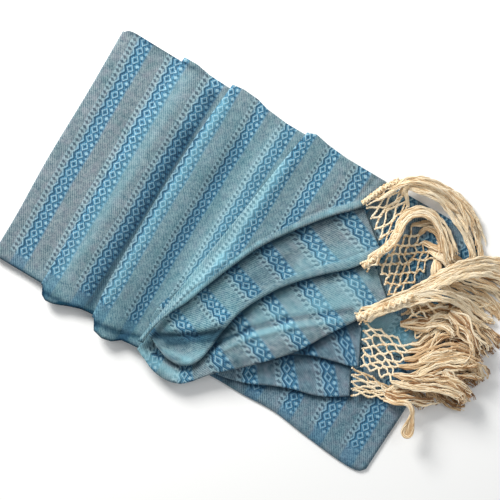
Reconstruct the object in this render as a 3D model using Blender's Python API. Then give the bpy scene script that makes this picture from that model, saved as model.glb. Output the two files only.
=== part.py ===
"""A folded handwoven shawl with knotted net fringes, lying on its flat underside.

Directions: u (+X) runs along the pile from the first fold to the fringe, v (+Y) runs across the
pile, +Z is up. The tables below are in millimetres in (u, v); the finished objects are in metres
with the origin under the middle of the whole shawl.
"""

import math

import bmesh
import bpy
import numpy as np

for old in list(bpy.data.objects):
    bpy.data.objects.remove(old, do_unlink=True)

# Driving dimensions, millimetres
GAP = 0.9  # air between two stretches of cloth
WALL = 2.0  # the cloth lies double, so one stretch is two weaves thick
BASE_TOP = 3.2  # height of the lowest, flat stretch
NET_GAP = 0.4  # air under a net or a lock
NET_WALL = 2.2  # a knotted cord of the net
KNOT_HALF = 1.7  # half the width of a knot in the net
LOCK_THICK = 3.4  # a lock of loose yarn
FLOOR_GAP = 0.8  # lowest fringe above the surface
CELL = 2.0  # spacing of the height map
MAP_U = -40.0
MAP_V = -60.0
MAP_CELLS_U = 370
MAP_CELLS_V = 240

heights = np.zeros((MAP_CELLS_U, MAP_CELLS_V))
built = []  # (name, points, faces, wall, thick, colour) of every shell
solids = []  # (name, points, faces, colour) of every closed ring body


def through(rows, count):
    """A smooth curve through the rows of a table, resampled evenly by the distance walked."""
    rows = np.array(rows, float)
    pairs = rows.shape[1] // 2
    moved = [np.diff(rows[:, 2 * k : 2 * k + 2], axis=0) for k in range(pairs)]
    steps = np.max([np.linalg.norm(m, axis=1) for m in moved], axis=0)
    at = np.concatenate([[0.0], np.cumsum(steps)])
    slope = np.empty_like(rows)
    slope[1:-1] = (rows[2:] - rows[:-2]) / (at[2:] - at[:-2])[:, None]
    slope[0] = (rows[1] - rows[0]) / (at[1] - at[0])
    slope[-1] = (rows[-1] - rows[-2]) / (at[-1] - at[-2])
    want = np.linspace(0.0, at[-1], count)
    k = np.clip(np.searchsorted(at, want, side="right") - 1, 0, len(at) - 2)
    h = (at[k + 1] - at[k])[:, None]
    t = ((want - at[k]) / (at[k + 1] - at[k]))[:, None]
    a = (2 * t**3 - 3 * t**2 + 1) * rows[k] + (t**3 - 2 * t**2 + t) * h * slope[k]
    b = (3 * t**2 - 2 * t**3) * rows[k + 1] + (t**3 - t**2) * h * slope[k + 1]
    return a + b


def highest_near(radius):
    """The height map with every cell raised to the highest value within the radius."""
    reach = int(math.ceil(radius / CELL))
    out = heights.copy()
    for du in range(-reach, reach + 1):
        for dv in range(-reach, reach + 1):
            if math.hypot(du, dv) * CELL <= radius + 0.6 * CELL:
                np.maximum(out, np.roll(np.roll(heights, du, 0), dv, 1), out=out)
    return out


def sample(field, u, v):
    """Values of a height field at points, taken from the nearest cell."""
    i = np.clip(np.rint((np.asarray(u) - MAP_U) / CELL).astype(int), 0, MAP_CELLS_U - 1)
    j = np.clip(np.rint((np.asarray(v) - MAP_V) / CELL).astype(int), 0, MAP_CELLS_V - 1)
    return field[i, j]


def raise_map(grid, half):
    """Record the upper side of a grid of points (rows, columns, 3) in the height map."""
    parts = 14
    a, b = grid[:-1, :-1], grid[:-1, 1:]
    c, d = grid[1:, :-1], grid[1:, 1:]
    for s in np.linspace(0.0, 1.0, parts):
        for t in np.linspace(0.0, 1.0, parts):
            p = (1 - s) * ((1 - t) * a + t * b) + s * ((1 - t) * c + t * d)
            i = np.rint((p[..., 0].ravel() - MAP_U) / CELL).astype(int)
            j = np.rint((p[..., 1].ravel() - MAP_V) / CELL).astype(int)
            i = np.clip(i, 0, MAP_CELLS_U - 1)
            j = np.clip(j, 0, MAP_CELLS_V - 1)
            np.maximum.at(heights, (i, j), p[..., 2].ravel() + half)


def settle(low, fall, rounds=260):
    """Lay a sheet on what is below it: taut over the high places, sinking by `fall` elsewhere."""
    z = low.copy()
    for _ in range(rounds):
        wide = np.pad(z, 1, mode="edge")
        mean = (wide[:-2, 1:-1] + wide[2:, 1:-1] + wide[1:-1, :-2] + wide[1:-1, 2:]) / 4
        z = np.maximum(low, mean - fall)
    return z


def leaf(rows_in, rows_out, spacing, low_end=None, high_end=None):
    """Plan points of a stretch between two edges, with its lower and upper ends bowed out."""
    grid = rows_in[:, None, :] * (1 - spacing)[None, :, None]
    grid = grid + rows_out[:, None, :] * spacing[None, :, None]
    n = len(rows_in)
    t = np.linspace(0.0, 1.0, n)[:, None]
    if low_end is not None:
        bow = np.interp(spacing, [r[0] for r in low_end], [r[1] for r in low_end])
        grid[..., 1] += bow[None, :] * np.clip(1 - t / 0.22, 0, 1) ** 1.5
    if high_end is not None:
        bow = np.interp(spacing, [r[0] for r in high_end], [r[1] for r in high_end])
        grid[..., 1] += bow[None, :] * np.clip((t - 0.75) / 0.25, 0, 1) ** 1.5
    return grid


def stretch(name, table, rows, columns, colour, fold_in=0.0, fold_out=0.0, back=10.0,
            fall=0.12, swell=0.0, swell_at=14.0, low_end=None, high_end=None):
    """One visible stretch of cloth, laid on what is there, with folded-under side edges.

    The table gives its inner and outer edge: u_in, v_in, u_out, v_out. fold_in and fold_out are
    the radii of the folds there, back is how far the cloth runs back underneath.
    """
    curve = through(table, rows)
    inner, outer = curve[:, 0:2], curve[:, 2:4]
    width = np.linalg.norm(outer - inner, axis=1)
    spacing = 0.5 - 0.5 * np.cos(np.linspace(0, math.pi, columns))
    spacing = 0.45 * spacing + 0.55 * np.linspace(0, 1, columns)
    plan = leaf(inner, outer, spacing, low_end, high_end)
    across = plan[:, -1] - plan[:, 0]
    across = across / np.linalg.norm(across, axis=1)[:, None]
    if fold_in:
        plan = plan + (1 - spacing)[None, :, None] * across[:, None, :] * fold_in
    if fold_out:
        plan = plan - spacing[None, :, None] * across[:, None, :] * fold_out
    near = highest_near(3.2)
    low = sample(near, plan[..., 0], plan[..., 1]) + GAP + WALL / 2
    from_in = np.linalg.norm(plan - plan[:, :1], axis=2)
    from_out = np.linalg.norm(plan - plan[:, -1:], axis=2)
    run = np.minimum(back, 0.34 * width)[:, None]
    if fold_in:
        low += 2 * fold_in * np.clip(1 - (from_in - run) / 6, 0, 1)
    if fold_out:
        low += 2 * fold_out * np.clip(1 - (from_out - run) / 6, 0, 1)
    if swell:
        low += swell * np.exp(-(((from_out - swell_at) / 8) ** 2)) * np.clip(width / 40, 0, 1)[:, None]
    z = settle(low, fall)
    top = np.dstack([plan, z])
    parts = [top]
    if fold_out:
        parts = parts + fold_points(top, across, fold_out, run[:, 0], from_out, near, -1)
    if fold_in:
        parts = fold_points(top, -across, fold_in, run[:, 0], from_in, near, 0)[::-1] + parts
    grid = np.concatenate(parts, axis=1)
    raise_map(grid, WALL / 2)
    shell(name, grid, WALL, colour)
    return grid


def fold_points(top, out, radius, run, from_edge, near, side):
    """The round fold at one side of a stretch and the leaf that runs back beneath it."""
    edge = top[:, side]
    bend = []
    for angle in (62.0, 28.0, -8.0, -45.0, -78.0):
        a = math.radians(angle)
        p = edge.copy()
        p[:, :2] += out * radius * math.cos(a)
        p[:, 2] += radius * math.sin(a) - radius
        bend.append(p)
    under = []
    for share in (0.3, 1.0):
        p = edge.copy()
        p[:, :2] -= out * (run * share)[:, None]
        for j in range(len(p)):
            order = np.argsort(from_edge[j])
            p[j, 2] = np.interp(run[j] * share, from_edge[j][order], top[j, order, 2]) - 2 * radius
        floor = sample(near, p[:, 0], p[:, 1]) + GAP + WALL / 2
        p[:, 2] = np.maximum(p[:, 2], floor)
        under.append(p)
    columns = np.stack(bend + under, axis=1)
    if side == 0:
        columns = columns[:, ::-1]
    return [columns]


def shell(name, grid, wall, colour):
    """Keep a grid of points as one shell to build."""
    rows, columns = grid.shape[:2]
    points = grid.reshape(-1, 3)
    faces = []
    for j in range(rows - 1):
        for i in range(columns - 1):
            a = j * columns + i
            faces.append((a, a + 1, a + columns + 1, a + columns))
    built.append((name, points, faces, wall, None, colour))


def ring_body(name, rings, colour):
    """A closed body from rings of equal point count, its two ends capped."""
    count = len(rings[0])
    points = np.concatenate(rings)
    faces = []
    for k in range(len(rings) - 1):
        for i in range(count):
            a = k * count + i
            b = k * count + (i + 1) % count
            faces.append((a, b, b + count, a + count))
    faces.append(tuple(range(count))[::-1])
    last = (len(rings) - 1) * count
    faces.append(tuple(range(last, last + count)))
    solids.append((name, points, faces, colour))


BLUE = (0.21, 0.36, 0.43, 1.0)
BLUE_LIGHT = (0.26, 0.43, 0.50, 1.0)
BLUE_DEEP = (0.12, 0.24, 0.34, 1.0)
CREAM = (0.74, 0.60, 0.42, 1.0)

# The lowest stretch: a flat doubled cloth under the whole pile, seen at its right-hand corner.
# Columns: u, v of its outline, starting at the near left corner and running round.
BASE_OUTLINE = [
    (3, 4), (60, 2.5), (120, 2), (180, 2), (240, 2), (290, 4), (335, 8), (380, 8), (430, 9.5),
    (475, 3.5), (500, 0.5), (540, -3.5), (562, -3.5), (571, -1), (575.5, 5), (577, 30),
    (578.5, 60), (580, 90), (581.5, 118), (581, 170), (580, 230), (577, 280), (570, 310),
    (559, 331), (546, 344), (528, 350), (490, 351), (440, 350.5), (380, 350), (320, 349.5),
    (260, 349), (200, 349.5), (140, 349), (80, 349.5), (30, 350), (8, 348), (3, 342), (2.5, 280),
    (3, 210), (2.5, 140), (3, 70), (2, 20),
]
# Height of each ring and how far it is set in: two weaves with a fine groove between them.
BASE_EDGE = [(0.0, 0.7), (0.8, 0.0), (1.4, 0.2), (1.65, 0.9), (1.9, 0.2), (2.5, 0.0), (BASE_TOP, 0.8)]


def outline_inset(outline, inset):
    """The outline moved inwards by a small distance."""
    loop = np.array(outline, float)
    ahead = np.roll(loop, -1, axis=0) - np.roll(loop, 1, axis=0)
    ahead = ahead / np.linalg.norm(ahead, axis=1)[:, None]
    inward = np.stack([-ahead[:, 1], ahead[:, 0]], axis=1)
    return loop + inward * inset


rings = []
for z, inset in BASE_EDGE:
    loop = outline_inset(BASE_OUTLINE, inset)
    rings.append(np.column_stack([loop, np.full(len(loop), z)]))
ring_body("under_panel", rings, BLUE_DEEP)
for share in np.linspace(0.0, 1.0, 240):
    loop = rings[-1].copy()
    loop[:, :2] = loop[:, :2] * (1 - share) + np.array([300.0, 175.0]) * share
    wide = np.concatenate([loop, loop[:1]])
    line = np.stack([wide[:-1] * (1 - t) + wide[1:] * t for t in np.linspace(0, 1, 32)])
    raise_map(np.stack([line.reshape(-1, 3), line.reshape(-1, 3)]), 0.0)

# The hidden folded layers in one rounded solid, rising towards the middle of the pile.
# Columns: u along the near edge, height of its top there.
LAYER_TOPS = [
    (5, 6.0), (14, 6.8), (76, 8.0), (104, 10.0), (152, 11.5), (188, 13.6), (250, 15.0),
    (300, 15.0), (345, 13.5), (380, 10.0), (402, 7.0), (412, 5.6),
]
LAYER_STATIONS = [0.0, 0.006, 0.02, 0.1, 0.19, 0.27, 0.38, 0.47, 0.58, 0.7, 0.8, 0.88, 0.95, 0.985, 1.0]
# Share of the height and distance set in, for the layered long sides: three rounded layers.
LAYER_SIDE = [
    (0.02, 2.2), (0.12, 0.3), (0.24, 0.3), (0.33, 2.4), (0.42, 0.2), (0.56, 0.2), (0.66, 2.6),
    (0.75, 0.6), (0.9, 1.2),
]
rings = []
for k, share in enumerate(LAYER_STATIONS):
    end = min(share, 1 - share)
    scale = min(1.0, 0.35 + (end / 0.02) ** 0.5 * 0.65)
    ring = []
    near_v, far_v = 5.0, 345.0
    for v in np.linspace(near_v + 4, far_v - 4, 6):
        ring.append((v, 0.0))
    for part, inset in LAYER_SIDE:
        ring.append((far_v - inset, part))
    for v in np.linspace(far_v - 5, near_v + 5, 15):
        ring.append((v, 1.0))
    for part, inset in LAYER_SIDE[::-1]:
        ring.append((near_v + inset, part))
    points = []
    for v, part in ring:
        right = 292.0 + 0.34 * v
        u = 5.0 + (right - 5.0) * share
        top = np.interp(u, [r[0] for r in LAYER_TOPS], [r[1] for r in LAYER_TOPS])
        top = min(top, 5.2 + (right - u) * 0.12)
        low = BASE_TOP + 0.5
        points.append((u, v, low + (top - low) * part * scale))
    rings.append(np.array(points))
rings = rings[::-1]
ring_body("hidden_layers", rings, BLUE_DEEP)
raise_map(np.stack([r for r in rings]), 0.0)

# The four broad stretches, each lying over the one before with its left edge folded under.
# Columns: u_in, v_in, u_out, v_out, from the near end to the far end.
PANEL_LEFT = [
    (0, 2, 92, 1), (1, 60, 93, 60), (-1, 150, 96, 150), (0.5, 250, 100, 250), (0, 352, 104, 350),
]
stretch("panel_left", PANEL_LEFT, 13, 9, BLUE, fold_in=1.7, back=9, fall=0.05)

PANEL_SECOND = [
    (76, 0, 170, 0), (77, 50, 167, 50), (78.5, 120, 167, 120), (81, 200, 167.5, 200),
    (85, 280, 170, 280), (89, 357, 177, 351),
]
SECOND_NEAR = [(0.0, 0), (0.06, -11), (0.14, -16), (0.26, -15), (0.48, -7), (0.64, -2), (1.0, 1)]
SECOND_FAR = [(0.0, 0), (0.2, 1.5), (0.45, -1), (0.7, -0.5), (1.0, 0)]
stretch("panel_second", PANEL_SECOND, 14, 10, BLUE_LIGHT, fold_in=1.9, back=10, fall=0.07,
        low_end=SECOND_NEAR, high_end=SECOND_FAR)

PANEL_THIRD = [
    (157, -3, 243, 0), (152.5, 50, 248, 50), (152, 120, 255, 120), (152.5, 195, 265, 195),
    (156, 280, 279, 280), (163, 358, 296, 350),
]
THIRD_NEAR = [(0.0, 0), (0.1, -15), (0.27, -19), (0.42, -17), (0.56, -9), (0.75, -8), (1.0, -7)]
THIRD_FAR = [(0.0, 0), (0.1, 2.5), (0.28, 2), (0.4, -2), (0.65, -3.5), (1.0, -1)]
stretch("panel_third", PANEL_THIRD, 14, 11, BLUE_LIGHT, fold_in=2.5, back=12, fall=0.07,
        low_end=THIRD_NEAR, high_end=THIRD_FAR)

# A corner of the other fringed end, showing between the pleats.
FAR_CORNER = [
    (448, 146, 448, 208), (480, 146, 480, 207), (510, 150, 512, 204), (532, 156, 534, 199),
    (550, 164, 552, 192),
]
stretch("far_corner", FAR_CORNER, 7, 7, BLUE_DEEP, fall=0.05)

# The pleats of the top end, fanned out from the gather at the near edge. Each folds under along
# its outer edge. Columns: u_in, v_in, u_out, v_out, from the gather to the fringed end.
PLEAT_FOURTH = [
    (328, 40, 330, 14), (350, 52, 352, 17), (376, 74, 380, 25), (402, 96, 408, 38),
    (430, 112, 437, 49), (455, 120, 467, 57), (478, 124, 489, 68), (489, 112, 506, 79),
]
stretch("pleat_fourth", PLEAT_FOURTH, 12, 8, BLUE, fold_out=1.9, back=9, fall=0.09)

PLEAT_THIRD = [
    (332, 52, 336, 22), (348, 70, 356, 40), (368, 92, 382, 65), (392, 118, 410, 87),
    (414, 146, 437, 101), (434, 170, 465, 109), (456, 184, 486, 114), (471, 172, 497, 119),
]
stretch("pleat_third", PLEAT_THIRD, 12, 8, BLUE, fold_out=1.9, back=9, fall=0.09)

# This one also wraps round the gather and hangs over the near edge of the pile as a soft pouch.
PLEAT_SECOND = [
    (234, 24, 230, -9), (246, 17, 246, -16), (262, 13, 262, -23), (280, 14, 283, -25.5),
    (294, 22, 301, -21), (304, 38, 313, -11), (308, 56, 323, 1), (312, 80, 336, 16),
    (318, 104, 356, 34), (328, 130, 376, 53), (346, 160, 398, 76), (370, 194, 418, 100),
    (398, 222, 436, 130), (424, 246, 462, 170), (447, 247, 490, 211),
]
stretch("pleat_second", PLEAT_SECOND, 24, 9, BLUE_LIGHT, fold_out=2.4, back=9, fall=0.10,
        swell=2.5, swell_at=12)

# The first pleat ends in a round rim at the gather, which curls round like a spoon.
PLEAT_FIRST = [
    (232, 16, 252, 7), (226, 34, 272, 0.5), (226, 52, 292, 2), (232, 74, 307, 16),
    (240, 98, 313, 42), (250, 122, 316, 70), (262, 150, 324, 104), (278, 180, 345, 145),
    (300, 214, 366, 173), (332, 254, 396, 204), (366, 290, 422, 228), (397, 304, 449, 264),
]
stretch("pleat_first", PLEAT_FIRST, 19, 10, BLUE_LIGHT, fold_out=2.9, back=10, fall=0.12,
        swell=2.0, swell_at=14)

# The last broad stretch: folded under at both sides, its far end is fringed.
PANEL_FOURTH = [
    (226, 1, 232, 2), (229, 20, 235, 30), (233, 45, 244, 56), (238, 78, 255, 78),
    (243, 110, 267, 110), (249, 150, 284, 152), (256, 195, 303, 192), (263, 240, 333, 236),
    (269, 282, 364, 275), (275, 320, 393, 307), (281, 353, 405, 349),
]
FOURTH_FAR = [(0.0, 0), (0.08, 4), (0.25, 0.5), (0.5, -1.5), (1.0, 0)]
stretch("panel_fourth", PANEL_FOURTH, 17, 12, BLUE_LIGHT, fold_in=1.6, fold_out=2.9, back=9,
        fall=0.10, high_end=FOURTH_FAR)


class Lace:
    """Points and faces of one net with its locks, all in one flat sheet to be given thickness."""

    def __init__(self):
        self.points = []
        self.faces = []
        self.thick = []

    def add(self, u, v, z, thick):
        self.points.append((u, v, z))
        self.thick.append(thick)
        return len(self.points) - 1


def net_place(root, far, bow, a, b):
    """Plan position in a net, a along its edge and b outwards, both 0 to 1."""
    r = through(root, 41)
    f = through(far, 41)
    k = a * 40
    i = int(min(k, 39))
    p = r[i] * (1 - (k - i)) + r[i + 1] * (k - i)
    q = f[i] * (1 - (k - i)) + f[i + 1] * (k - i)
    side = np.array([-(q - p)[1], (q - p)[0]])
    return p * (1 - b) + q * b + side * bow * math.sin(math.pi * b)


def fringe(name, root, far, cells, rows, locks, bow=0.0, header=2.6):
    """A net of knotted diamonds along an edge, with locks of loose yarn from its last knots.

    root and far are tables of u, v along the cloth's edge and along the last knots. cells is the
    number of diamonds along the edge, rows the number of knot rows. locks is a list of
    (knot share 0 to 1, centre-line table of u, v, width).
    """
    lace = Lace()
    near = highest_near(6.5)
    along = np.array(through(root, 21))
    length = float(np.linalg.norm(np.diff(along, axis=0), axis=1).sum())
    out = np.array(through(far, 21)) - along
    depth = float(np.linalg.norm(out, axis=1).mean())
    ka = KNOT_HALF / length
    kb = KNOT_HALF / depth
    steps = 2 * cells
    free = list(range(rows % 2, steps + 1, 2))
    ends = []
    for share, line, width in locks:
        ends.append(min(free, key=lambda i: abs(i / steps - share)))
        free.remove(ends[-1])

    def point(a, b):
        p = net_place(root, far, bow, min(max(a, 0.0), 1.0), b)
        if a < 0.0 or a > 1.0:
            p = p + (p - net_place(root, far, bow, 0.5, b)) * (abs(a - 0.5) / 0.5 - 1)
        return p

    # the plan of all knots first, laid on what is below
    a_values = np.arange(steps + 1) / steps
    b_values = np.arange(rows + 1) / rows
    plan = np.array([[point(a, b) for a in a_values] for b in b_values])
    low = sample(near, plan[..., 0], plan[..., 1]) + NET_GAP + NET_WALL / 2
    head = np.array([point(a, -header / depth) for a in a_values])
    low[0] = np.maximum(low[0], sample(near, head[:, 0], head[:, 1]) + NET_GAP + NET_WALL / 2)
    low[0, :-1] = np.maximum(low[0, :-1], low[0, 1:])
    low[0, 1:] = np.maximum(low[0, 1:], low[0, :-1])
    close = highest_near(3.0)
    for i, (share, line, width) in zip(ends, locks):
        start = plan[rows, i]
        ahead = np.array(line[0], float) - start
        reach = min(15.0, float(np.linalg.norm(ahead)))
        ahead = ahead / np.linalg.norm(ahead)
        across = np.array([ahead[1], -ahead[0]])
        for far_off in np.linspace(0.0, reach, 6):
            for aside in (-0.4 * width, 0.0, 0.4 * width):
                spot = start + ahead * far_off + across * aside
                rest = sample(close, spot[0], spot[1]) + NET_GAP + LOCK_THICK / 2
                low[rows, i] = max(low[rows, i], rest)
    z = settle(low, 0.15)
    raise_map(np.dstack([plan, z]), NET_WALL / 2)

    def corner(i, j, da, db):
        p = point(i / steps + da * ka, j / rows + db * kb)
        return lace.add(p[0], p[1], z[j, i], 0.0)

    corners = {}
    top_edge = []
    low_edge = []
    for i in range(0, steps + 1, 2):
        left, right = corner(i, 0, -1, 0), corner(i, 0, 1, 0)
        corners[i, 0] = {"l": left, "r": right, "t": corner(i, 0, 0, 1)}
        lace.faces.append((left, right, corners[i, 0]["t"]))
        drop = -header / KNOT_HALF
        low_edge += [corner(i, 0, -1, drop), corner(i, 0, 1, drop)]
        top_edge += [left, right]
    for k in range(len(top_edge) - 1):
        lace.faces.append((low_edge[k], low_edge[k + 1], top_edge[k + 1], top_edge[k]))
    for j in range(1, rows + 1):
        for i in range(j % 2, steps + 1, 2):
            c = {"l": corner(i, j, -1, 0), "b": corner(i, j, 0, -1), "r": corner(i, j, 1, 0)}
            if j < rows or i not in ends:
                c["t"] = corner(i, j, 0, 1)
                lace.faces.append((c["l"], c["b"], c["r"], c["t"]))
            else:
                lace.faces.append((c["l"], c["b"], c["r"]))
            corners[i, j] = c
            low_left = corners.get((i - 1, j - 1))
            low_right = corners.get((i + 1, j - 1))
            if low_left:
                lace.faces.append((low_left["r"], c["b"], c["l"], low_left["t"]))
            if low_right:
                lace.faces.append((low_right["t"], c["r"], c["b"], low_right["l"]))
    for i, (share, line, width) in zip(ends, locks):
        add_lock(lace, corners[i, rows], plan[rows, i], z[rows, i], line, width)
    thick = np.array(lace.thick)
    built.append((name, np.array(lace.points), lace.faces, LOCK_THICK, thick, CREAM))


def add_lock(lace, knot, start, start_z, line, width):
    """One lock of yarn from a knot along its centre line, laid over all that is below it."""
    centre = np.array([tuple(start)] + list(line), float)
    count = max(6, int(round(np.linalg.norm(np.diff(centre, axis=0), axis=1).sum() / 13)))
    centre = through(centre, count)
    ahead = np.gradient(centre, axis=0)
    ahead = ahead / np.linalg.norm(ahead, axis=1)[:, None]
    side = np.stack([ahead[:, 1], -ahead[:, 0]], axis=1)
    t = np.linspace(0, 1, count)
    half = 0.5 * width * np.interp(t, [0, 0.12, 0.35, 0.85, 1.0], [0.45, 0.7, 1.0, 1.0, 0.55])
    near = highest_near(2.4)
    fine = np.linspace(0, count - 1, 4 * (count - 1) + 1)
    seen = np.zeros(len(fine))
    for s in (-1.0, -0.4, 0.4, 1.0):
        rail = centre + side * (half * s)[:, None]
        u = np.interp(fine, np.arange(count), rail[:, 0])
        v = np.interp(fine, np.arange(count), rail[:, 1])
        seen = np.maximum(seen, sample(near, u, v))
    low = np.array([seen[max(0, 4 * k - 3) : 4 * k + 4].max() for k in range(count)])
    low = np.maximum(low, FLOOR_GAP) + NET_GAP + LOCK_THICK / 2
    low[0] = start_z
    z = low.copy()
    for _ in range(120):
        wide = np.pad(z, 1, mode="edge")
        z = np.maximum(low, (wide[:-2] + wide[2:]) / 2 - 0.9)
        z[0] = start_z
    left = centre - side * half[:, None]
    right = centre + side * half[:, None]
    # which of the knot's sides is on the left of the way ahead
    kl = np.array(lace.points[knot["l"]][:2])
    kr = np.array(lace.points[knot["r"]][:2])
    if np.dot(kr - kl, side[1]) < 0:
        left, right = right, left
    past = (knot["l"], knot["r"])
    for k in range(1, count):
        a = lace.add(left[k, 0], left[k, 1], z[k], 1.0 if k > 1 else 0.6)
        b = lace.add(right[k, 0], right[k, 1], z[k], 1.0 if k > 1 else 0.6)
        lace.faces.append((past[0], past[1], b, a))
        past = (a, b)
    grid = np.stack([
        np.column_stack([left, z]), np.column_stack([centre, z]), np.column_stack([right, z]),
    ])
    raise_map(grid, LOCK_THICK / 2)


def side_by_side(line, width, shares):
    """Locks that run side by side within a bundle: centre lines and the width of each."""
    line = np.array(line, float)
    ahead = np.gradient(line, axis=0)
    ahead = ahead / np.linalg.norm(ahead, axis=1)[:, None]
    side = np.stack([ahead[:, 1], -ahead[:, 0]], axis=1)
    n = len(shares)
    widths = np.interp(np.linspace(0, 1, len(line)), np.linspace(0, 1, len(width)), width)
    locks = []
    for k, share in enumerate(shares):
        off = (k + 0.5) / n - 0.5
        path = line + side * (widths * off)[:, None]
        locks.append((share, [tuple(p) for p in path], float(np.mean(width)) / n * 0.82))
    return locks


# Net and locks of each stretch of the fringed ends, lowest first. Columns of every line: u, v.
fringe(
    "fringe_far",
    root=[(553.5, 163), (555.5, 192)],
    far=[(570, 152), (573, 212)],
    cells=5, rows=2,
    locks=side_by_side([(588, 160), (610, 148), (630, 144), (650, 151)], [22, 26, 24], (0.0, 0.2))
    + side_by_side([(590, 188), (612, 186), (634, 180), (650, 172)], [24, 28, 26], (0.4, 0.6))
    + side_by_side([(584, 218), (602, 234), (626, 238), (652, 230)], [24, 30, 26], (0.8, 1.0)),
)
fringe(
    "fringe_fourth",
    root=[(490.5, 113), (508.5, 80.5)],
    far=[(546, 119), (547, 98)],
    cells=4, rows=4,
    locks=side_by_side(
        [(558, 119), (571, 136), (586, 156), (606, 176), (626, 190), (648, 197)],
        [14, 22, 28, 28], (0.0, 0.25, 0.5))
    + [(0.75, [(566, 109), (584, 118), (600, 126), (611, 140)], 12.0)]
    + [(1.0, [(562, 101), (577, 110), (587, 105), (591, 92), (592, 76)], 10.0)],
)
fringe(
    "fringe_third",
    root=[(473, 174), (499.5, 121)],
    far=[(545, 180), (544, 124)],
    cells=5, rows=6,
    locks=side_by_side([(556, 184), (564, 206), (580, 222), (604, 228), (640, 222)], [18, 24, 28], (0.0, 0.2))
    + side_by_side([(560, 162), (577, 184), (598, 202), (620, 208), (640, 202)], [20, 26, 26], (0.4, 0.6))
    + side_by_side([(560, 134), (582, 146), (606, 156), (630, 158), (648, 150)], [22, 26, 26], (0.8, 1.0)),
)
fringe(
    "fringe_second",
    root=[(450, 250), (493, 212.5)],
    far=[(466, 318), (513, 294)],
    cells=4, rows=8,
    locks=side_by_side([(482, 328), (500, 328), (516, 314), (522, 292)], [14, 18, 16], (0.0, 0.25))
    + side_by_side([(526, 304), (552, 300), (580, 304), (606, 308), (634, 302)], [18, 28, 34], (0.5, 0.75))
    + side_by_side([(528, 276), (550, 274), (576, 278), (604, 280), (640, 268)], [14, 17, 17], (1.0,)),
)
fringe(
    "fringe_first",
    root=[(399.5, 307), (447, 270)],
    far=[(420, 350), (447, 338)],
    cells=4, rows=4,
    locks=side_by_side(
        [(430, 360), (449, 368), (474, 373), (499, 369), (520, 359), (535, 346), (546, 331)],
        [15, 17, 24, 34], (0.0, 0.3, 0.6, 1.0)),
)
fringe(
    "fringe_top",
    root=[(409, 350), (397.5, 310)],
    far=[(417, 354), (405, 318)],
    cells=3, rows=1,
    locks=side_by_side(
        [(429, 366), (450, 377), (476, 381), (502, 378), (526, 367), (547, 350)],
        [10, 11, 12, 16], (0.2, 0.8)),
)
fringe(
    "fringe_first_corner",
    root=[(429.5, 239), (442.5, 234.5)],
    far=[(434, 252), (447, 248)],
    cells=2, rows=2,
    locks=side_by_side(
        [(443, 262), (450, 278), (452, 297), (450, 317), (457, 334), (475, 342), (496, 337), (514, 324),
         (527, 311), (535, 303)],
        [13, 13, 14, 15, 18], (0.0, 0.5, 1.0)),
)
fringe(
    "fringe_second_corner",
    root=[(456.5, 178), (469, 168.5)],
    far=[(463, 188), (476, 178.5)],
    cells=3, rows=2,
    locks=side_by_side(
        [(474, 194), (489, 213), (505, 233), (521, 257), (537, 282), (556, 304), (577, 320), (602, 328),
         (628, 326)],
        [12, 15, 20, 28, 38], (0.0, 0.33, 0.66))
    + [(1.0, [(486, 194), (500, 212), (516, 232), (534, 248), (554, 258), (576, 260), (600, 254),
              (630, 252)], 16.0)],
)


def material(name, colour):
    """A plain cloth or yarn colour."""
    mat = bpy.data.materials.new(name)
    mat.use_nodes = True
    principled = mat.node_tree.nodes["Principled BSDF"]
    principled.inputs["Base Color"].default_value = colour
    principled.inputs["Roughness"].default_value = 0.9
    return mat


every = np.concatenate([p[1] for p in built] + [s[1] for s in solids])
middle = (every.min(axis=0) + every.max(axis=0)) / 2
middle[2] = 0.0


def finish(name, points, faces, colour):
    """Turn points and faces into an object in metres about the shared origin."""
    bm = bmesh.new()
    verts = [bm.verts.new(tuple(p)) for p in (points - middle) / 1000.0]
    for face in faces:
        bm.faces.new([verts[i] for i in face])
    bmesh.ops.recalc_face_normals(bm, faces=bm.faces)
    mesh = bpy.data.meshes.new(name)
    bm.to_mesh(mesh)
    bm.free()
    obj = bpy.data.objects.new(name, mesh)
    bpy.context.scene.collection.objects.link(obj)
    obj.data.materials.append(material(name + "_cloth", colour))
    return obj


for name, points, faces, colour in solids:
    finish(name, points, faces, colour)

for name, points, faces, wall, thick, colour in built:
    obj = finish(name, points, faces, colour)
    solid = obj.modifiers.new("wall", "SOLIDIFY")
    solid.thickness = wall / 1000.0
    solid.offset = 0.0
    if thick is not None:
        group = obj.vertex_groups.new(name="lock")
        for i, t in enumerate(thick):
            group.add([i], float(t), "REPLACE")
        solid.vertex_group = "lock"
        solid.thickness_vertex_group = NET_WALL / LOCK_THICK
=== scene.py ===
# %% [markdown]
# # A folded handwoven shawl with knotted fringes
#
# The shawl is one long cotton weaving. It lies folded in half lengthwise, then back and forth
# into a flat pile, and its top end fans out into four pleats that all start at one gather.
# Both short ends carry a net of knotted diamonds and long loose locks of cream yarn.
# The frame gives the place and size of every stretch; this script dresses each stretch as two
# thin weaves, one above the other, and each net and lock as single yarns.

import math

import bmesh
import bpy
import numpy as np
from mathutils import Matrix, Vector
from mathutils.bvhtree import BVHTree


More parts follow.
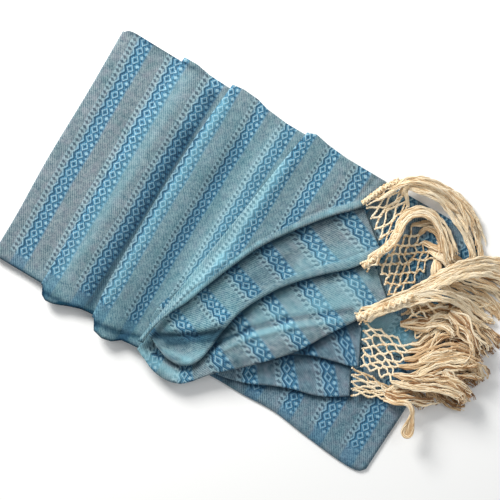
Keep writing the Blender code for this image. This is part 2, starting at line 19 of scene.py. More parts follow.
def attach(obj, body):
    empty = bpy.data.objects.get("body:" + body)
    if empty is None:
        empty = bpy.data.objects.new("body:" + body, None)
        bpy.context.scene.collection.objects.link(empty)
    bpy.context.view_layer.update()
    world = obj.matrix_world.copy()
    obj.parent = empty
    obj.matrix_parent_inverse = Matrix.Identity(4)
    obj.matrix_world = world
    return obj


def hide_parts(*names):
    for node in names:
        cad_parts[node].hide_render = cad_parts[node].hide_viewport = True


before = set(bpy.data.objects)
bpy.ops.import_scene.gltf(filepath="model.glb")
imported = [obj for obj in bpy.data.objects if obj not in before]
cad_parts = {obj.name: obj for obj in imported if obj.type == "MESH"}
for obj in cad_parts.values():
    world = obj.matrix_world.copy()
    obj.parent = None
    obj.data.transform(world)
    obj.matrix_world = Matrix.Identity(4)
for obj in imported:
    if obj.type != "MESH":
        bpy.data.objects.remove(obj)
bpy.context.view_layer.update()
rng = np.random.default_rng(7)
print("nodes:", sorted(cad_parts))

# %% [markdown]
# ## Directions and smooth curves
#
# All tables below are in millimetres in the pile's own directions: u runs along the pile from
# the first fold to the fringe, v runs across it from the near edge to the far edge. One point
# fixes where that grid lies in the frame, so a number read off the cloth goes straight in.
# Cloth and yarn never run in straight pieces, so each short table is read as a smooth curve.

# %% Directions and smooth curves
MM = 1000.0  # millimetres in a metre
TURN = 2 * math.pi
PILE_MID = (327.02, 180.30)  # u, v of the frame's origin


def metres(points):
    """Pile millimetres to frame metres."""
    p = np.array(points, float)
    p[..., 0] -= PILE_MID[0]
    p[..., 1] -= PILE_MID[1]
    return p / MM


def through(rows, count):
    """A smooth curve through the rows of a table, evenly spaced by distance."""
    rows = np.array(rows, float)
    moved = [np.diff(rows[:, 2 * k : 2 * k + 2], axis=0) for k in range(max(1, rows.shape[1] // 2))]
    steps = np.max([np.linalg.norm(m, axis=1) for m in moved], axis=0)
    at = np.concatenate([[0.0], np.cumsum(steps)])
    slope = np.empty_like(rows)
    slope[1:-1] = (rows[2:] - rows[:-2]) / (at[2:] - at[:-2])[:, None]
    slope[0] = (rows[1] - rows[0]) / (at[1] - at[0])
    slope[-1] = (rows[-1] - rows[-2]) / (at[-1] - at[-2])
    want = np.linspace(0.0, at[-1], count)
    k = np.clip(np.searchsorted(at, want, side="right") - 1, 0, len(at) - 2)
    h = (at[k + 1] - at[k])[:, None]
    t = ((want - at[k]) / (at[k + 1] - at[k]))[:, None]
    a = (2 * t**3 - 3 * t**2 + 1) * rows[k] + (t**3 - 2 * t**2 + t) * h * slope[k]
    b = (3 * t**2 - 2 * t**3) * rows[k + 1] + (t**3 - t**2) * h * slope[k + 1]
    return a + b


def distances(line):
    """How far along a line each of its points lies."""
    return np.concatenate([[0.0], np.cumsum(np.linalg.norm(np.diff(line, axis=0), axis=1))])


def headings(line):
    """Unit vectors in plan along a line, and to its right."""
    ahead = np.gradient(line, axis=0)
    ahead = ahead / np.maximum(np.linalg.norm(ahead, axis=1), 1e-6)[:, None]
    return ahead, np.stack([ahead[:, 1], -ahead[:, 0]], axis=1)


print("the pile's middle is at u, v", PILE_MID)

# %% [markdown]
# ## Heights read from the frame
#
# Cloth takes the shape of what it lies on. Each stretch could be simulated, but the frame's
# solids already hold its folds, so rays sent down onto a solid give the height of every point.
# Where a ray misses, the heights beside it are carried in. A little slow unevenness on top
# keeps the cloth from looking cast.

# %% Heights of a node's upper side
RAY_FROM = 0.3  # height in metres at which a ray starts, above everything


def surface_of(node):
    """The node's own triangles, for finding its upper side."""
    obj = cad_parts[node]
    verts = [obj.matrix_world @ v.co for v in obj.data.vertices]
    return BVHTree.FromPolygons(verts, [tuple(p.vertices) for p in obj.data.polygons])


def top_at(tree, u, v):
    """Height of a surface above the floor in millimetres at points u, v; nan where it is not."""
    plan = metres(np.column_stack([np.ravel(u), np.ravel(v)]))
    out = np.full(len(plan), np.nan)
    for k, (x, y) in enumerate(plan):
        hit = tree.ray_cast(Vector((x, y, RAY_FROM)), Vector((0, 0, -1)))
        if hit[0] is not None:
            out[k] = hit[0].z * MM
    return out.reshape(np.shape(u))


def beside(z, **pad):
    """The four neighbours of each value of a grid."""
    wide = np.pad(z, 1, **pad)
    return np.stack([wide[:-2, 1:-1], wide[2:, 1:-1], wide[1:-1, :-2], wide[1:-1, 2:]])


def fill_gaps(z):
    """Carry known heights into the unknown ones beside them."""
    z = z.copy()
    while np.isnan(z).any():
        around = beside(z, constant_values=np.nan)
        known = ~np.isnan(around)
        count = known.sum(axis=0)
        reached = np.isnan(z) & (count > 0)
        total = np.where(known, around, 0).sum(axis=0)
        z[reached] = (total / np.maximum(count, 1))[reached]
    return z


def soften(z, rounds):
    """Average each value with its neighbours."""
    for _ in range(rounds):
        z = 0.5 * z + 0.125 * beside(z, mode="edge").sum(axis=0)
    return z


def waves(u, v, seed, scale, terms=6):
    """A smooth random field of about unit height."""
    r = np.random.default_rng(seed)
    out = np.zeros(np.shape(u))
    for _ in range(terms):
        angle = r.uniform(0, TURN)
        k = TURN / (scale * r.uniform(0.6, 1.6))
        out += np.sin(k * (np.cos(angle) * u + np.sin(angle) * v) + r.uniform(0, 6.28))
    return out / math.sqrt(terms)


print("rays go down from", RAY_FROM, "m")

# %% [markdown]
# ## Colours and nodes
#
# Every material starts as a Principled shader. One function adds a node to it: a texture, a mix
# or a sum. A material's colours are written as the hex codes of a colour picker, and one
# function turns them into the linear values that the shader works with.

# %% Colours and the one function that adds a node
def srgb(code):
    """An sRGB hex code as linear red, green, blue, alpha."""
    parts = [int(code[i : i + 2], 16) / 255 for i in (1, 3, 5)]
    return [p / 12.92 if p <= 0.04045 else ((p + 0.055) / 1.055) ** 2.4 for p in parts] + [1.0]


def new_material(name):
    """A material, its links, its Principled shader and a function that adds nodes."""
    mat = bpy.data.materials.new(name)
    mat.use_nodes = True
    tree = mat.node_tree

    def add(kind, *values, out=0, clamp=False, **named):
        """One node: kind is its type, or a maths operation in capitals. Values go into its open
        sockets in order, named ones into the socket of that name, or with _ into an option."""
        node = tree.nodes.new("ShaderNodeMath" if kind.isupper() else "ShaderNode" + kind)
        if kind.isupper():
            node.operation, node.use_clamp = kind, clamp
        for key in [k for k in named if k[0] == "_"]:
            setattr(node, key[1:], named.pop(key))
        pairs = list(zip([s for s in node.inputs if s.enabled], values))
        for socket, value in pairs + [(node.inputs[key], value) for key, value in named.items()]:
            if isinstance(value, bpy.types.NodeSocket):
                tree.links.new(value, socket)
            else:
                socket.default_value = value
        return [s for s in node.outputs if s.enabled][out]

    return mat, tree.links, tree.nodes["Principled BSDF"], add


RGBA = {"_data_type": "RGBA"}  # makes a Mix node mix colours
print("mid grey is", [round(c, 3) for c in srgb("#808080")])

# %% [markdown]
# ### The woven cloth
#
# The ground is a fine twill of blue and pale grey threads, so it reads as a grey teal with a
# small broken texture. Bands of pattern cross it every 54 mm: a column of diamonds on deep
# blue, a zigzag and a row of short teeth on its left and dots on its right, all repeating
# every 13.4 mm. A picture of the weave could be laid on, but a chart made of sums stays sharp
# and follows every fold. It is worked out from two lengths kept in the cloth's own map: how far
# along the cloth a point is, and how far across it, both in millimetres divided by a thousand.

# %% Handwoven cotton
BAND_EVERY = 54.0
MOTIF_EVERY = 13.4
RIB_EVERY = 3.0  # a real rib is about 1.2 mm wide; a finer one than this does not show here
# distance of each figure from the band's middle, and its half width
DIAMOND_HALF = 5.7
ZIGZAG_AT, ZIGZAG_DEEP = -8.0, 4.2
DOT_AT, DOT_HALF = 7.4, 3.5
BLOT_AT, BLOT_HALF = 8.6, 3.6
SMALL_DOT_AT, SMALL_DOT_HALF = 10.8, 2.6
TOOTH_AT, TOOTH_HALF = -13.8, 4.3
BAND_FROM, BAND_TO = -9.0, 11.8


def cloth_material(name, ground, ground_dark, blue, blue_dark, light, dark):
    """Handwoven cotton: matt, with little gloss and a short nap that catches the light."""
    mat, links, shader, add = new_material(name)
    half = MOTIF_EVERY / 2

    def rise(x, start, width):
        """0 below start, 1 above start + width."""
        return add("MULTIPLY_ADD", x, 1.0 / width, -start / width, clamp=True)

    def falls(x, start, width):
        return add("SUBTRACT", 1.0, rise(x, start, width))

    def within(x, low, high, soft):
        """1 between low and high, fading over soft on both sides."""
        return add("MULTIPLY", rise(x, low - soft / 2, soft), falls(x, high - soft / 2, soft))

    def away(x, middle, scale):
        return add("DIVIDE", add("ABSOLUTE", add("SUBTRACT", x, middle)), scale)

    def held(attribute):
        return add("Attribute", out=2, _attribute_name=attribute, _attribute_type="GEOMETRY")

    place = add("UVMap", _uv_map="cloth")
    lengths = add("SeparateXYZ", place).node.outputs
    # threads are never quite straight: move the pattern a little by slow noise
    wander = add("TexNoise", Vector=place, Scale=60.0, Detail=2.0)
    drift = add("TexNoise", Vector=place, Scale=11.0, Detail=1.0)
    wander_too = add("TexNoise", Vector=place, Scale=78.0, Detail=2.0)
    along = add("MULTIPLY", lengths[0], MM)
    along = add("ADD", along, add("MULTIPLY_ADD", wander, 2.4, -1.2))
    along = add("ADD", along, add("MULTIPLY_ADD", drift, 6.0, -3.0))
    across = add("MULTIPLY", lengths[1], MM)
    across = add("ADD", across, add("MULTIPLY_ADD", wander_too, 2.2, -1.1))
    # x is the distance from the band's middle, a runs 0 to 1 within half a motif
    x = add("WRAP", along, BAND_EVERY / 2, -BAND_EVERY / 2)
    a = add("DIVIDE", add("ABSOLUTE", add("WRAP", across, half, -half)), half)
    b = add("SUBTRACT", 1.0, a)
    left = falls(x, -1.5, 1.5)
    right = rise(x, 0.0, 1.5)
    diamond = add("ADD", add("DIVIDE", add("ABSOLUTE", x), DIAMOND_HALF), add("MULTIPLY", a, 1.05))
    ring = within(diamond, 0.68, 0.97, 0.16)
    core = falls(diamond, 0.26, 0.16)
    outline = add("MULTIPLY", within(diamond, 1.06, 1.34, 0.16), right)
    zigzag = add("MULTIPLY_ADD", a, ZIGZAG_DEEP, add("SUBTRACT", ZIGZAG_AT, x))
    zig_dark = add("MULTIPLY", within(zigzag, -0.9, 1.0, 0.9), left)
    zig_light = add("MULTIPLY", within(zigzag, 1.7, 3.6, 0.9), left)
    dot = falls(add("ADD", away(x, DOT_AT, DOT_HALF), add("MULTIPLY", b, 2.2)), 0.66, 0.4)
    small_dot = falls(add("ADD", away(x, SMALL_DOT_AT, SMALL_DOT_HALF), add("MULTIPLY", a, 2.6)),
                      0.62, 0.4)
    blots = falls(add("ADD", away(x, BLOT_AT, BLOT_HALF), away(a, 0.46, 0.24)), 0.65, 0.4)
    slanted = add("WRAP", add("ADD", across, add("MULTIPLY", x, 0.22)), half / 2, -half / 2)
    teeth = falls(add("ADD", away(x, TOOTH_AT, TOOTH_HALF),
                      add("DIVIDE", add("ABSOLUTE", slanted), 2.7)), 0.66, 0.42)
    gaps = add("MULTIPLY", within(x, -17.4, -10.6, 1.2), add("SUBTRACT", 1.0, teeth))
    # figures fade out at the rolled hems, and the band's blue half fades where there are none
    figure, plain = held("figure"), held("plain")
    patterned = add("SUBTRACT", 1.0, plain)
    shown = add("MULTIPLY", figure, patterned)
    band = add("MULTIPLY", within(x, BAND_FROM, BAND_TO, 3.4), patterned)
    band = add("MULTIPLY", band, add("MULTIPLY_ADD", figure, 0.5, 0.5))
    # ground: a steep twill, uneven threads, patches that are paler or warmer
    slope = add("MULTIPLY_ADD", across, 0.58, along)
    twill = add("SINE", add("MULTIPLY", slope, TURN / RIB_EVERY))
    fleck = add("TexNoise", Vector=place, Scale=480.0, Detail=2.0, Roughness=0.6)
    slub = add("TexNoise", Vector=place, Scale=150.0, Detail=2.0)
    grain = add("MULTIPLY_ADD", twill, 0.30, add("MULTIPLY_ADD", fleck, 1.9, -0.45))
    grain = add("ADD", grain, add("MULTIPLY_ADD", slub, 1.2, -0.6), clamp=True)
    patch = add("TexNoise", Vector=place, Scale=24.0, Detail=2.0)
    tone = add("TexNoise", Vector=place, Scale=85.0, Detail=1.0)
    colour = add("Mix", grain, ground_dark, ground, **RGBA)
    colour = add("Mix", add("MULTIPLY_ADD", patch, 2.4, -1.0, clamp=True), colour,
                 srgb("#7f9b9c"), **RGBA, _blend_type="SOFT_LIGHT")
    warm = add("Mix", add("MULTIPLY_ADD", tone, 3.0, -1.3, clamp=True), colour,
               srgb("#8f8794"), **RGBA)
    colour = add("Mix", 0.30, colour, warm, **RGBA)
    greener = add("Mix", grain, srgb("#2f7389"), srgb("#7db3bb"), **RGBA)
    colour = add("Mix", add("MULTIPLY", held("teal"), 0.46, clamp=True), colour, greener, **RGBA)
    blues = add("Mix", grain, blue_dark, blue, **RGBA)
    colour = add("Mix", add("MULTIPLY", band, 0.78), colour, blues, **RGBA)
    # the figures: the strongest of each set counts, and flecks break the light ones up
    lit, deep = ring, add("MULTIPLY", core, 0.9)
    for shape, share in ((zig_light, 0.8), (dot, 1.0), (small_dot, 0.6), (gaps, 0.55)):
        lit = add("MAXIMUM", lit, add("MULTIPLY", shape, share))
    for shape, share in ((zig_dark, 1.0), (outline, 0.7), (blots, 0.8), (teeth, 0.75)):
        deep = add("MAXIMUM", deep, add("MULTIPLY", shape, share))
    lit = add("MULTIPLY", add("MULTIPLY", lit, shown), add("MULTIPLY", fleck, 1.6, clamp=True))
    colour = add("Mix", add("MULTIPLY", add("MULTIPLY", deep, shown), 0.80), colour, dark, **RGBA)
    colour = add("Mix", add("MULTIPLY", lit, 0.70), colour, light, **RGBA)
    # painted highlight makes the ridges brighter and cyan, painted shade darkens the creases: both are values painted
    # on the mesh
    painted_light_and_shade = held("painted_light_and_shade")
    colour = add("Mix", add("MULTIPLY", painted_light_and_shade, 0.8, clamp=True), colour, srgb("#94d0de"), **RGBA)
    colour = add("Mix", add("MULTIPLY", painted_light_and_shade, -0.85, clamp=True), colour, srgb("#2b7089"),
                 **RGBA, _blend_type="MULTIPLY")
    links.new(colour, shader.inputs["Base Color"])
    shader.inputs["Roughness"].default_value = 0.92
    shader.inputs["Specular IOR Level"].default_value = 0.15
    shader.inputs["Sheen Weight"].default_value = 0.08
    shader.inputs["Sheen Roughness"].default_value = 0.6
    height = add("ADD", add("MULTIPLY", lit, 0.45), add("MULTIPLY", grain, 0.55))
    bump = add("Bump", Height=height, Strength=0.6, Distance=0.0006)
    links.new(bump, shader.inputs["Normal"])
    return mat


CLOTH_COLOURS = {  # ground, its dark threads, blue, its dark threads, light figures, dark figures
    "handwoven_cotton_blue": "#919ea1 #455e6b #3f8bad #184d72 #b2d4dc #1a394e",
    "handwoven_cotton_shaded": "#869ba6 #3b596b #4089ad #1b5279 #aad0de #1c3a50",
}
# the shaded copy has a darker, bluer ground: painted shade for the lower pleats, the lowest stretch and the hidden
# layers
cloth, cloth_shaded = [
    cloth_material(name, *[srgb(code) for code in codes.split()])
    for name, codes in CLOTH_COLOURS.items()
]
print("cloth materials:", cloth.name, cloth_shaded.name)

# %% [markdown]
# ### The cream yarn
#
# The fringe is the undyed warp: loosely spun cotton, soft and matt, with a short bright nap and
# a colour that shifts slowly along each yarn. Every yarn is real geometry, so the material only
# needs that shift and a fine fibre bump. Three versions stand for clean yarn, a darker copy that
# is painted shade, and tan yarn, which is partly the yarn's own tan and partly painted deep shade.

# %% Loose cotton yarn
def yarn_material(name, pale, shade):
    """Loose cotton yarn, soft and matt, a little uneven in colour."""
    mat, links, shader, add = new_material(name)
    where = add("TexCoord", out=3)  # Object coordinates
    slow = add("TexNoise", Vector=where, Scale=60.0, Detail=3.0)
    fine = add("TexNoise", Vector=where, Scale=900.0, Detail=2.0)
    mixed = add("ADD", add("MULTIPLY_ADD", slow, 1.5, -0.5), add("MULTIPLY_ADD", fine, 0.6, -0.3),
                clamp=True)
    colour = add("Mix", mixed, srgb(shade), srgb(pale), **RGBA)
    links.new(colour, shader.inputs["Base Color"])
    shader.inputs["Roughness"].default_value = 0.85
    shader.inputs["Specular IOR Level"].default_value = 0.2
    shader.inputs["Sheen Weight"].default_value = 0.25
    shader.inputs["Sheen Roughness"].default_value = 0.5
    bump = add("Bump", Height=fine, Strength=0.35, Distance=0.0003)
    links.new(bump, shader.inputs["Normal"])
    return mat


# the shaded yarn is a darker copy of the cream yarn, as painted shade; the tan yarn is partly the yarn's own tan and
# partly painted deep shade between the locks
YARNS = [
    yarn_material("cream_cotton_yarn", "#fff5e0", "#f3dfbb"),
    yarn_material("cream_cotton_yarn_shaded", "#efd8b2", "#d0ae82"),
    yarn_material("tan_cotton_yarn", "#c49a6a", "#90663d"),
]
CLEAN, SHADED, TAN_AND_DEEP_SHADE = range(3)
print("yarn materials:", [mat.name for mat in YARNS])

# %% [markdown]
# ## The stretches of cloth
#
# A stretch is the part of the long cloth between two folds. Its ridges and creases get light and
# shade from the lamps, and short soft lines painted on the mesh add more: painted highlights along
# ridges and painted shade in creases, and, in a second list, places where the colour turns greener.
# The same kind of line raises ridges and presses creases.

# %% Soft painted lines
PAINTED_LIGHT_LINES = [  # u0, v0, u1, v1, half width, strength: painted highlight above 0, painted shade below 0
    (266, 150, 274, 300, 8, 0.33), (258, 80, 266, 150, 8, 0.28), (161, 30, 164, 330, 9, 0.36),
    (240, 110, 246, 330, 13, 0.22), (95, 30, 101, 330, 10, 0.20), (250, 60, 252, 120, 10, 0.15),
    (147, 10, 149, 330, 8, -0.75), (134, 0, 137, 270, 16, -0.42), (205, -10, 207, 290, 14, -0.42),
    (300, 190, 322, 250, 18, -0.30), (40, -2, 230, -14, 6, -0.30), (2, 351, 120, 351, 3, -0.6),
    (20, 20, 26, 340, 30, -0.14), (196, 30, 230, 320, 26, -0.14),
]
TEALS = [  # where the cloth's colour turns greener: u0, v0, u1, v1, half width, strength
    (190, 20, 200, 300, 60, 0.75), (270, 60, 300, 330, 55, 0.7), (290, 60, 440, 240, 40, 0.55),
    (95, 20, 100, 340, 20, 0.35), (50, -4, 230, -8, 20, 0.7), (400, 10, 560, 20, 40, 0.3),
]


def spread(u, v, lines):
    """Sum of soft lines at a grid of points u, v."""
    plan = np.dstack([u, v])
    total = np.zeros(plan.shape[:-1])
    for u0, v0, u1, v1, width, strength in lines:
        a, b = np.array([u0, v0], float), np.array([u1, v1], float)
        t = np.clip(((plan - a) @ (b - a)) / ((b - a) @ (b - a)), 0, 1)
        d = np.linalg.norm(plan - (a + t[..., None] * (b - a)), axis=-1)
        total += strength * np.exp(-((d / width) ** 2))
    return total


def beside_hem(points, offset, width, strength):
    """Soft lines of shade just outside a hem given as points along it."""
    p = np.array(points, float)
    p = p + headings(p)[1] * offset
    return [(*p[k], *p[k + 1], width, strength) for k in range(len(p) - 1)]


print("painted lines:", len(PAINTED_LIGHT_LINES), "fades,", len(TEALS), "greener places")

# %% [markdown]
# ### Where the bands of pattern fall
#
# The pattern was woven at an even distance, but folds hide some of it and the pleats bend it.
# A flat map would slide over the folds, so the middle of each band that shows is written down,
# and the length along the cloth is read between them: across the pile for a broad stretch, and
# along the pleat for a fanned one, where the bands also lean.

# %% Lengths along the cloth
PILE_ACROSS = 350.0


def along_rows(bands, plan, edge_w):
    """Cloth lengths for a fanned pleat, from its band middles (number, u, v, angle)."""
    middle = plan.mean(axis=1)
    at = distances(middle)
    found = []
    for number, u, v, angle in bands:
        j = np.argmin(np.linalg.norm(plan - np.array([u, v]), axis=2).min(axis=1))
        n = np.array([-math.sin(math.radians(angle)), math.cos(math.radians(angle))])
        length = number * BAND_EVERY - float((np.array([u, v]) - middle[j]) @ n)
        found.append((at[j], length, angle))
    known = np.array(sorted(found))
    length = np.interp(at, known[:, 0], known[:, 1])
    length = np.where(at < known[0, 0], known[0, 1] - (known[0, 0] - at), length)
    length = np.where(at > known[-1, 0], known[-1, 1] + (at - known[-1, 0]), length)
    angle = np.radians(np.interp(at, known[:, 0], known[:, 2]))
    off = plan - middle[:, None, :]
    n = np.stack([-np.sin(angle), np.cos(angle)], axis=1)[:, None, :]
    b = np.stack([np.cos(angle), np.sin(angle)], axis=1)[:, None, :]
    inward = edge_w - ((plan - plan[:, -1:, :]) * b).sum(axis=2)
    return np.dstack([length[:, None] + (off * n).sum(axis=2), inward])


def across_pile(bands, plan):
    """Cloth lengths for a broad stretch, from its band middles (number, u far, u mid, u near)."""
    u, v = plan[..., 0], plan[..., 1]
    t = np.clip(v / PILE_ACROSS, -0.1, 1.1)
    centres = np.array([
        np.where(t > 0.5, mid + (far - mid) * (2 * t - 1), near + (mid - near) * 2 * t)
        for _, far, mid, near in bands
    ])
    numbers = np.array([b[0] for b in bands], float) * BAND_EVERY
    out = np.zeros(u.shape)
    for index in np.ndindex(u.shape):
        c = centres[(slice(None),) + index]
        before, after = min(u[index] - c[0], 0), max(u[index] - c[-1], 0)
        out[index] = np.interp(u[index], c, numbers) + before + after
    return np.dstack([out, v])


print("a band of pattern every", BAND_EVERY, "mm, a motif every", MOTIF_EVERY, "mm")

# %% [markdown]
# ### Laying, folding and doubling
#
# Each stretch is laid as a grid between its inner and outer edge, at the height of the frame's
# solid. A side edge that is a fold turns round and runs back underneath, because a cut edge
# there would show as a paper-thin line. The grid is then doubled into two weaves half a
# millimetre off it, joined along the pile's far edge, where the cloth is folded lengthwise,
# and open along the near edge, where the two selvedges lie.

# %% From a table to two weaves
CAD_WALL = 2.0  # a stretch in the frame, two weaves together
WEAVE = 0.85  # one weave
HALF_PAIR = 0.5  # from the middle of a stretch to the middle of each weave
NEAR_BOW, FAR_BOW = 0.22, 0.25  # share of the length over which the bow of an end fades out
SWELL, SWELL_WAVE = 0.35, 46  # slow unevenness of the cloth: height and wavelength
RIPPLE, RIPPLE_WAVE = 0.12, 11  # the same, small
LOWEST = 1.6  # the middle of a stretch never lies lower than this
FOLD_ANGLES = (66, 42, 18, -6, -30, -54, -78)  # round a fold, in degrees from level
BACK_SHARES = (0.15, 0.5, 1.0)  # points on the cloth that runs back below it


def bowed(end, s, fading):
    """How far an end bulges: given as (share of the width, millimetres), fading inwards."""
    bow = np.interp(s, [r[0] for r in end], [r[1] for r in end])
    return bow[None, :] * np.clip(fading, 0, 1) ** 1.5


def lay(table, size, node, folds, low_end, high_end, lines, back, seed):
    """Middle surface of a stretch and its plan, in millimetres, before the folds are added."""
    rows, columns = size
    fold_in, fold_out = folds
    curve = through(table, rows)
    inner, outer = curve[:, 0:2], curve[:, 2:4]
    s = np.linspace(0, 1, columns)
    t = np.linspace(0, 1, rows)[:, None]
    plan = inner[:, None, :] * (1 - s)[None, :, None] + outer[:, None, :] * s[None, :, None]
    if low_end:
        plan[..., 1] += bowed(low_end, s, 1 - t / NEAR_BOW)
    if high_end:
        plan[..., 1] += bowed(high_end, s, (t - 1 + FAR_BOW) / FAR_BOW)
    across = plan[:, -1] - plan[:, 0]
    width = np.linalg.norm(across, axis=1)
    across = across / width[:, None]
    # leave room for the round of each fold
    plan = plan + (1 - s)[None, :, None] * across[:, None, :] * fold_in
    plan = plan - s[None, :, None] * across[:, None, :] * fold_out
    u, v = plan[..., 0], plan[..., 1]
    z = fill_gaps(top_at(surface_of(node), u, v)) - CAD_WALL / 2
    z = soften(z, 10) + spread(u, v, lines) + SWELL * waves(u, v, seed, SWELL_WAVE)
    z = z + RIPPLE * waves(u, v, seed + 50, RIPPLE_WAVE)
    return plan, np.maximum(z, LOWEST), across, np.minimum(back, 0.34 * width)


def turn(edge, out, radius, run):
    """The round fold beyond an edge and the cloth that runs back beneath it, with distances."""
    columns, far = [], []
    for angle in FOLD_ANGLES:
        a = math.radians(angle)
        p = edge.copy()
        p[:, :2] += out * radius * math.cos(a)
        p[:, 2] += radius * (math.sin(a) - 1)
        columns.append(p)
        far.append(np.full(len(p), radius * math.radians(90 - angle)))
    for share in BACK_SHARES:
        p = edge.copy()
        p[:, :2] -= out * (run * share)[:, None]
        p[:, 2] -= 2 * radius
        columns.append(p)
        far.append(radius * math.pi + run * share)
    return np.stack(columns, axis=1), np.stack(far, axis=1)


def beyond(marks, edge, inside, step, far):
    """The cloth map carried on round a fold: lengths go on, the painted values stay."""
    per_mm = (marks[:, edge] - marks[:, inside]) / step
    per_mm[:, 2:] = 0
    return marks[:, edge][:, None, :] + per_mm[:, None, :] * far[..., None]


def doubled(grid, marks, wrap):
    """Two weaves from one middle surface, joined at the far end if wrap is set."""
    d_row = np.gradient(grid, axis=0)
    d_col = np.gradient(grid, axis=1)
    normal = np.cross(d_col, d_row)
    normal = normal / np.maximum(np.linalg.norm(normal, axis=2), 1e-9)[..., None]
    upper, lower = grid + normal * HALF_PAIR, grid - normal * HALF_PAIR
    if not wrap:
        return [(upper, marks), (lower, marks)]
    onward = d_row[-1] / np.linalg.norm(d_row[-1], axis=1)[:, None]
    tip = grid[-1] + onward * (HALF_PAIR + 0.2)
    whole = np.concatenate([upper, tip[None], lower[::-1]])
    mark = np.concatenate([marks, marks[-1:], marks[::-1]])
    return [(whole, mark)]


print("two weaves of", WEAVE, "mm in a stretch of", CAD_WALL, "mm")

# %% [markdown]
# ### One object from its grids
#
# Each weave is a create_grid whose points are moved into place, which keeps the faces in even
# rows along the threads. The lengths go into a UV map, so the weave follows the cloth, and the
# painted values into attributes on the points. Solidify gives the weave its thickness.

# %% Grids to a piece of cloth
def new_object(name, data):
    """An object at the origin, in the scene."""
    obj = bpy.data.objects.new(name, data)
    bpy.context.scene.collection.objects.link(obj)
    return obj


def grid_mesh(name, sheets, mat, shades=(), weave=WEAVE):
    """One object from grids of points, each a create_grid moved into place, with its cloth map."""
    bm = bmesh.new()
    layer = bm.loops.layers.uv.new("cloth")
    painted = [bm.verts.layers.float.new(key) for key in ("figure", "plain", "painted_light_and_shade", "teal")]
    for points, marks in sheets:
        rows, columns = points.shape[:2]
        place = metres(points)
        # painted highlight above 0 and painted shade below 0, summed from the soft lines at each point
        painted_light_sum = np.clip(spread(points[..., 0], points[..., 1], PAINTED_LIGHT_LINES + list(shades)), -1, 1)
        green = np.clip(spread(points[..., 0], points[..., 1], TEALS), 0, 1)
        paint = np.dstack([marks[..., 2], marks[..., 3], painted_light_sum + marks[..., 4], green])
        made = bmesh.ops.create_grid(bm, x_segments=rows - 1, y_segments=columns - 1, size=0.5)
        verts = sorted(made["verts"], key=lambda w: (round(w.co.x, 6), round(w.co.y, 6)))
        index = {w: divmod(k, columns) for k, w in enumerate(verts)}
        for w, at in index.items():
            w.co = place[at]
            for key, value in zip(painted, paint[at]):
                w[key] = value
        for f in {f for w in verts for f in w.link_faces}:
            f.smooth = True
            for loop in f.loops:
                loop[layer].uv = marks[index[loop.vert]][:2] / MM
    bmesh.ops.recalc_face_normals(bm, faces=bm.faces)
    mesh = bpy.data.meshes.new(name)
    bm.to_mesh(mesh)
    bm.free()
    mesh.materials.append(mat)
    obj = new_object(name, mesh)
    wall = obj.modifiers.new("weave", "SOLIDIFY")
    wall.thickness = weave / MM
    wall.offset = 0.0
    print(name, "faces", len(mesh.polygons))
    return obj


# %% [markdown]
# ### A whole stretch
#
# A stretch is laid, turned round its folds and doubled, then hung on the root, and its part of
# the frame is hidden. The length along the middle of the laid surface is measured as well;
# nothing further uses it.

# %% Lay, fold and double
PLAIN_NEAR, PLAIN_SOFT = 16, 5  # figures begin this far from the near edge, over this distance
RIM_SHADE, RIM_WIDTH = -1.0, 3.6  # the near rim lies in the shade of the pile
HEM_GROOVE, HEM_ROUND = 1.3, 0.5  # depth of the line beside a rolled hem, height of its roll


def rolled_hem(strip, to_edge, z):
    """A plain rolled edge whose width grows from the gather to the fringe."""
    narrow, broad, start, end = strip
    share = np.clip((np.linspace(0, 1, len(z)) - start) / (end - start), 0, 1)
    roll = (narrow + (broad - narrow) * share)[:, None]
    z = z - HEM_GROOVE * (roll / broad) * np.exp(-(((to_edge - roll - 2.0) / 2.2) ** 2))
    z = z + HEM_ROUND * (roll / broad) * np.exp(-(((to_edge - roll * 0.45) / (roll * 0.45)) ** 2))
    return np.clip((roll + 1 - to_edge) / 2, 0, 1), z


def stretch(name, node, table, size, bands, mat=cloth, fold_in=0.0, fold_out=0.0, back=9.0,
            low_end=None, high_end=None, lines=(), wrap=False, seed=1, fan=None, strip=None,
            shades=(), bald=()):
    """One stretch of cloth from its table, its bands of pattern and its folds."""
    plan, z, across, run = lay(table, size, node, (fold_in, fold_out), low_end, high_end, lines,
                               back, seed)
    marks = across_pile(bands, plan) if fan is None else along_rows(bands, plan, fan)
    shown, bare, rim = np.ones(z.shape), np.zeros(z.shape), np.zeros(z.shape)
    if fan is None:
        shown = np.clip((plan[..., 1] - PLAIN_NEAR) / PLAIN_SOFT, 0, 1)
    if strip:
        bare, z = rolled_hem(strip, np.linalg.norm(plan - plan[:, -1:], axis=2), z)
    bare = np.clip(bare + spread(plan[..., 0], plan[..., 1], bald), 0, 1)
    if wrap:
        to_near = np.linalg.norm(plan - plan[:1], axis=2)
        rim = RIM_SHADE * np.exp(-((to_near / RIM_WIDTH) ** 2))
    marks = np.dstack([marks, shown, bare, rim])
    grid = np.dstack([plan, z])
    length = distances(grid.mean(axis=1))[-1]
    if fold_out:
        step = np.linalg.norm(plan[:, -1] - plan[:, -2], axis=1)[:, None]
        more, far = turn(grid[:, -1], across, fold_out, run)
        marks = np.concatenate([marks, beyond(marks, -1, -2, step, far)], axis=1)
        grid = np.concatenate([grid, more], axis=1)
    if fold_in:
        step = np.linalg.norm(plan[:, 1] - plan[:, 0], axis=1)[:, None]
        more, far = turn(grid[:, 0], -across, fold_in, run)
        marks = np.concatenate([beyond(marks, 0, 1, step, far)[:, ::-1], marks], axis=1)
        grid = np.concatenate([more[:, ::-1], grid], axis=1)
    obj = grid_mesh(name, doubled(grid, marks, wrap), mat, shades)
    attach(obj, "root")
    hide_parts(node)


print("figures begin", PLAIN_NEAR, "mm from the near edge")

# %% [markdown]
# ### The four broad stretches
#
# These are the wide upper surfaces left to right. Every one lies over the one before, with its
# left edge folded under, like big knife pleats. The near edges bulge over the pile where the
# cloth was pushed together.

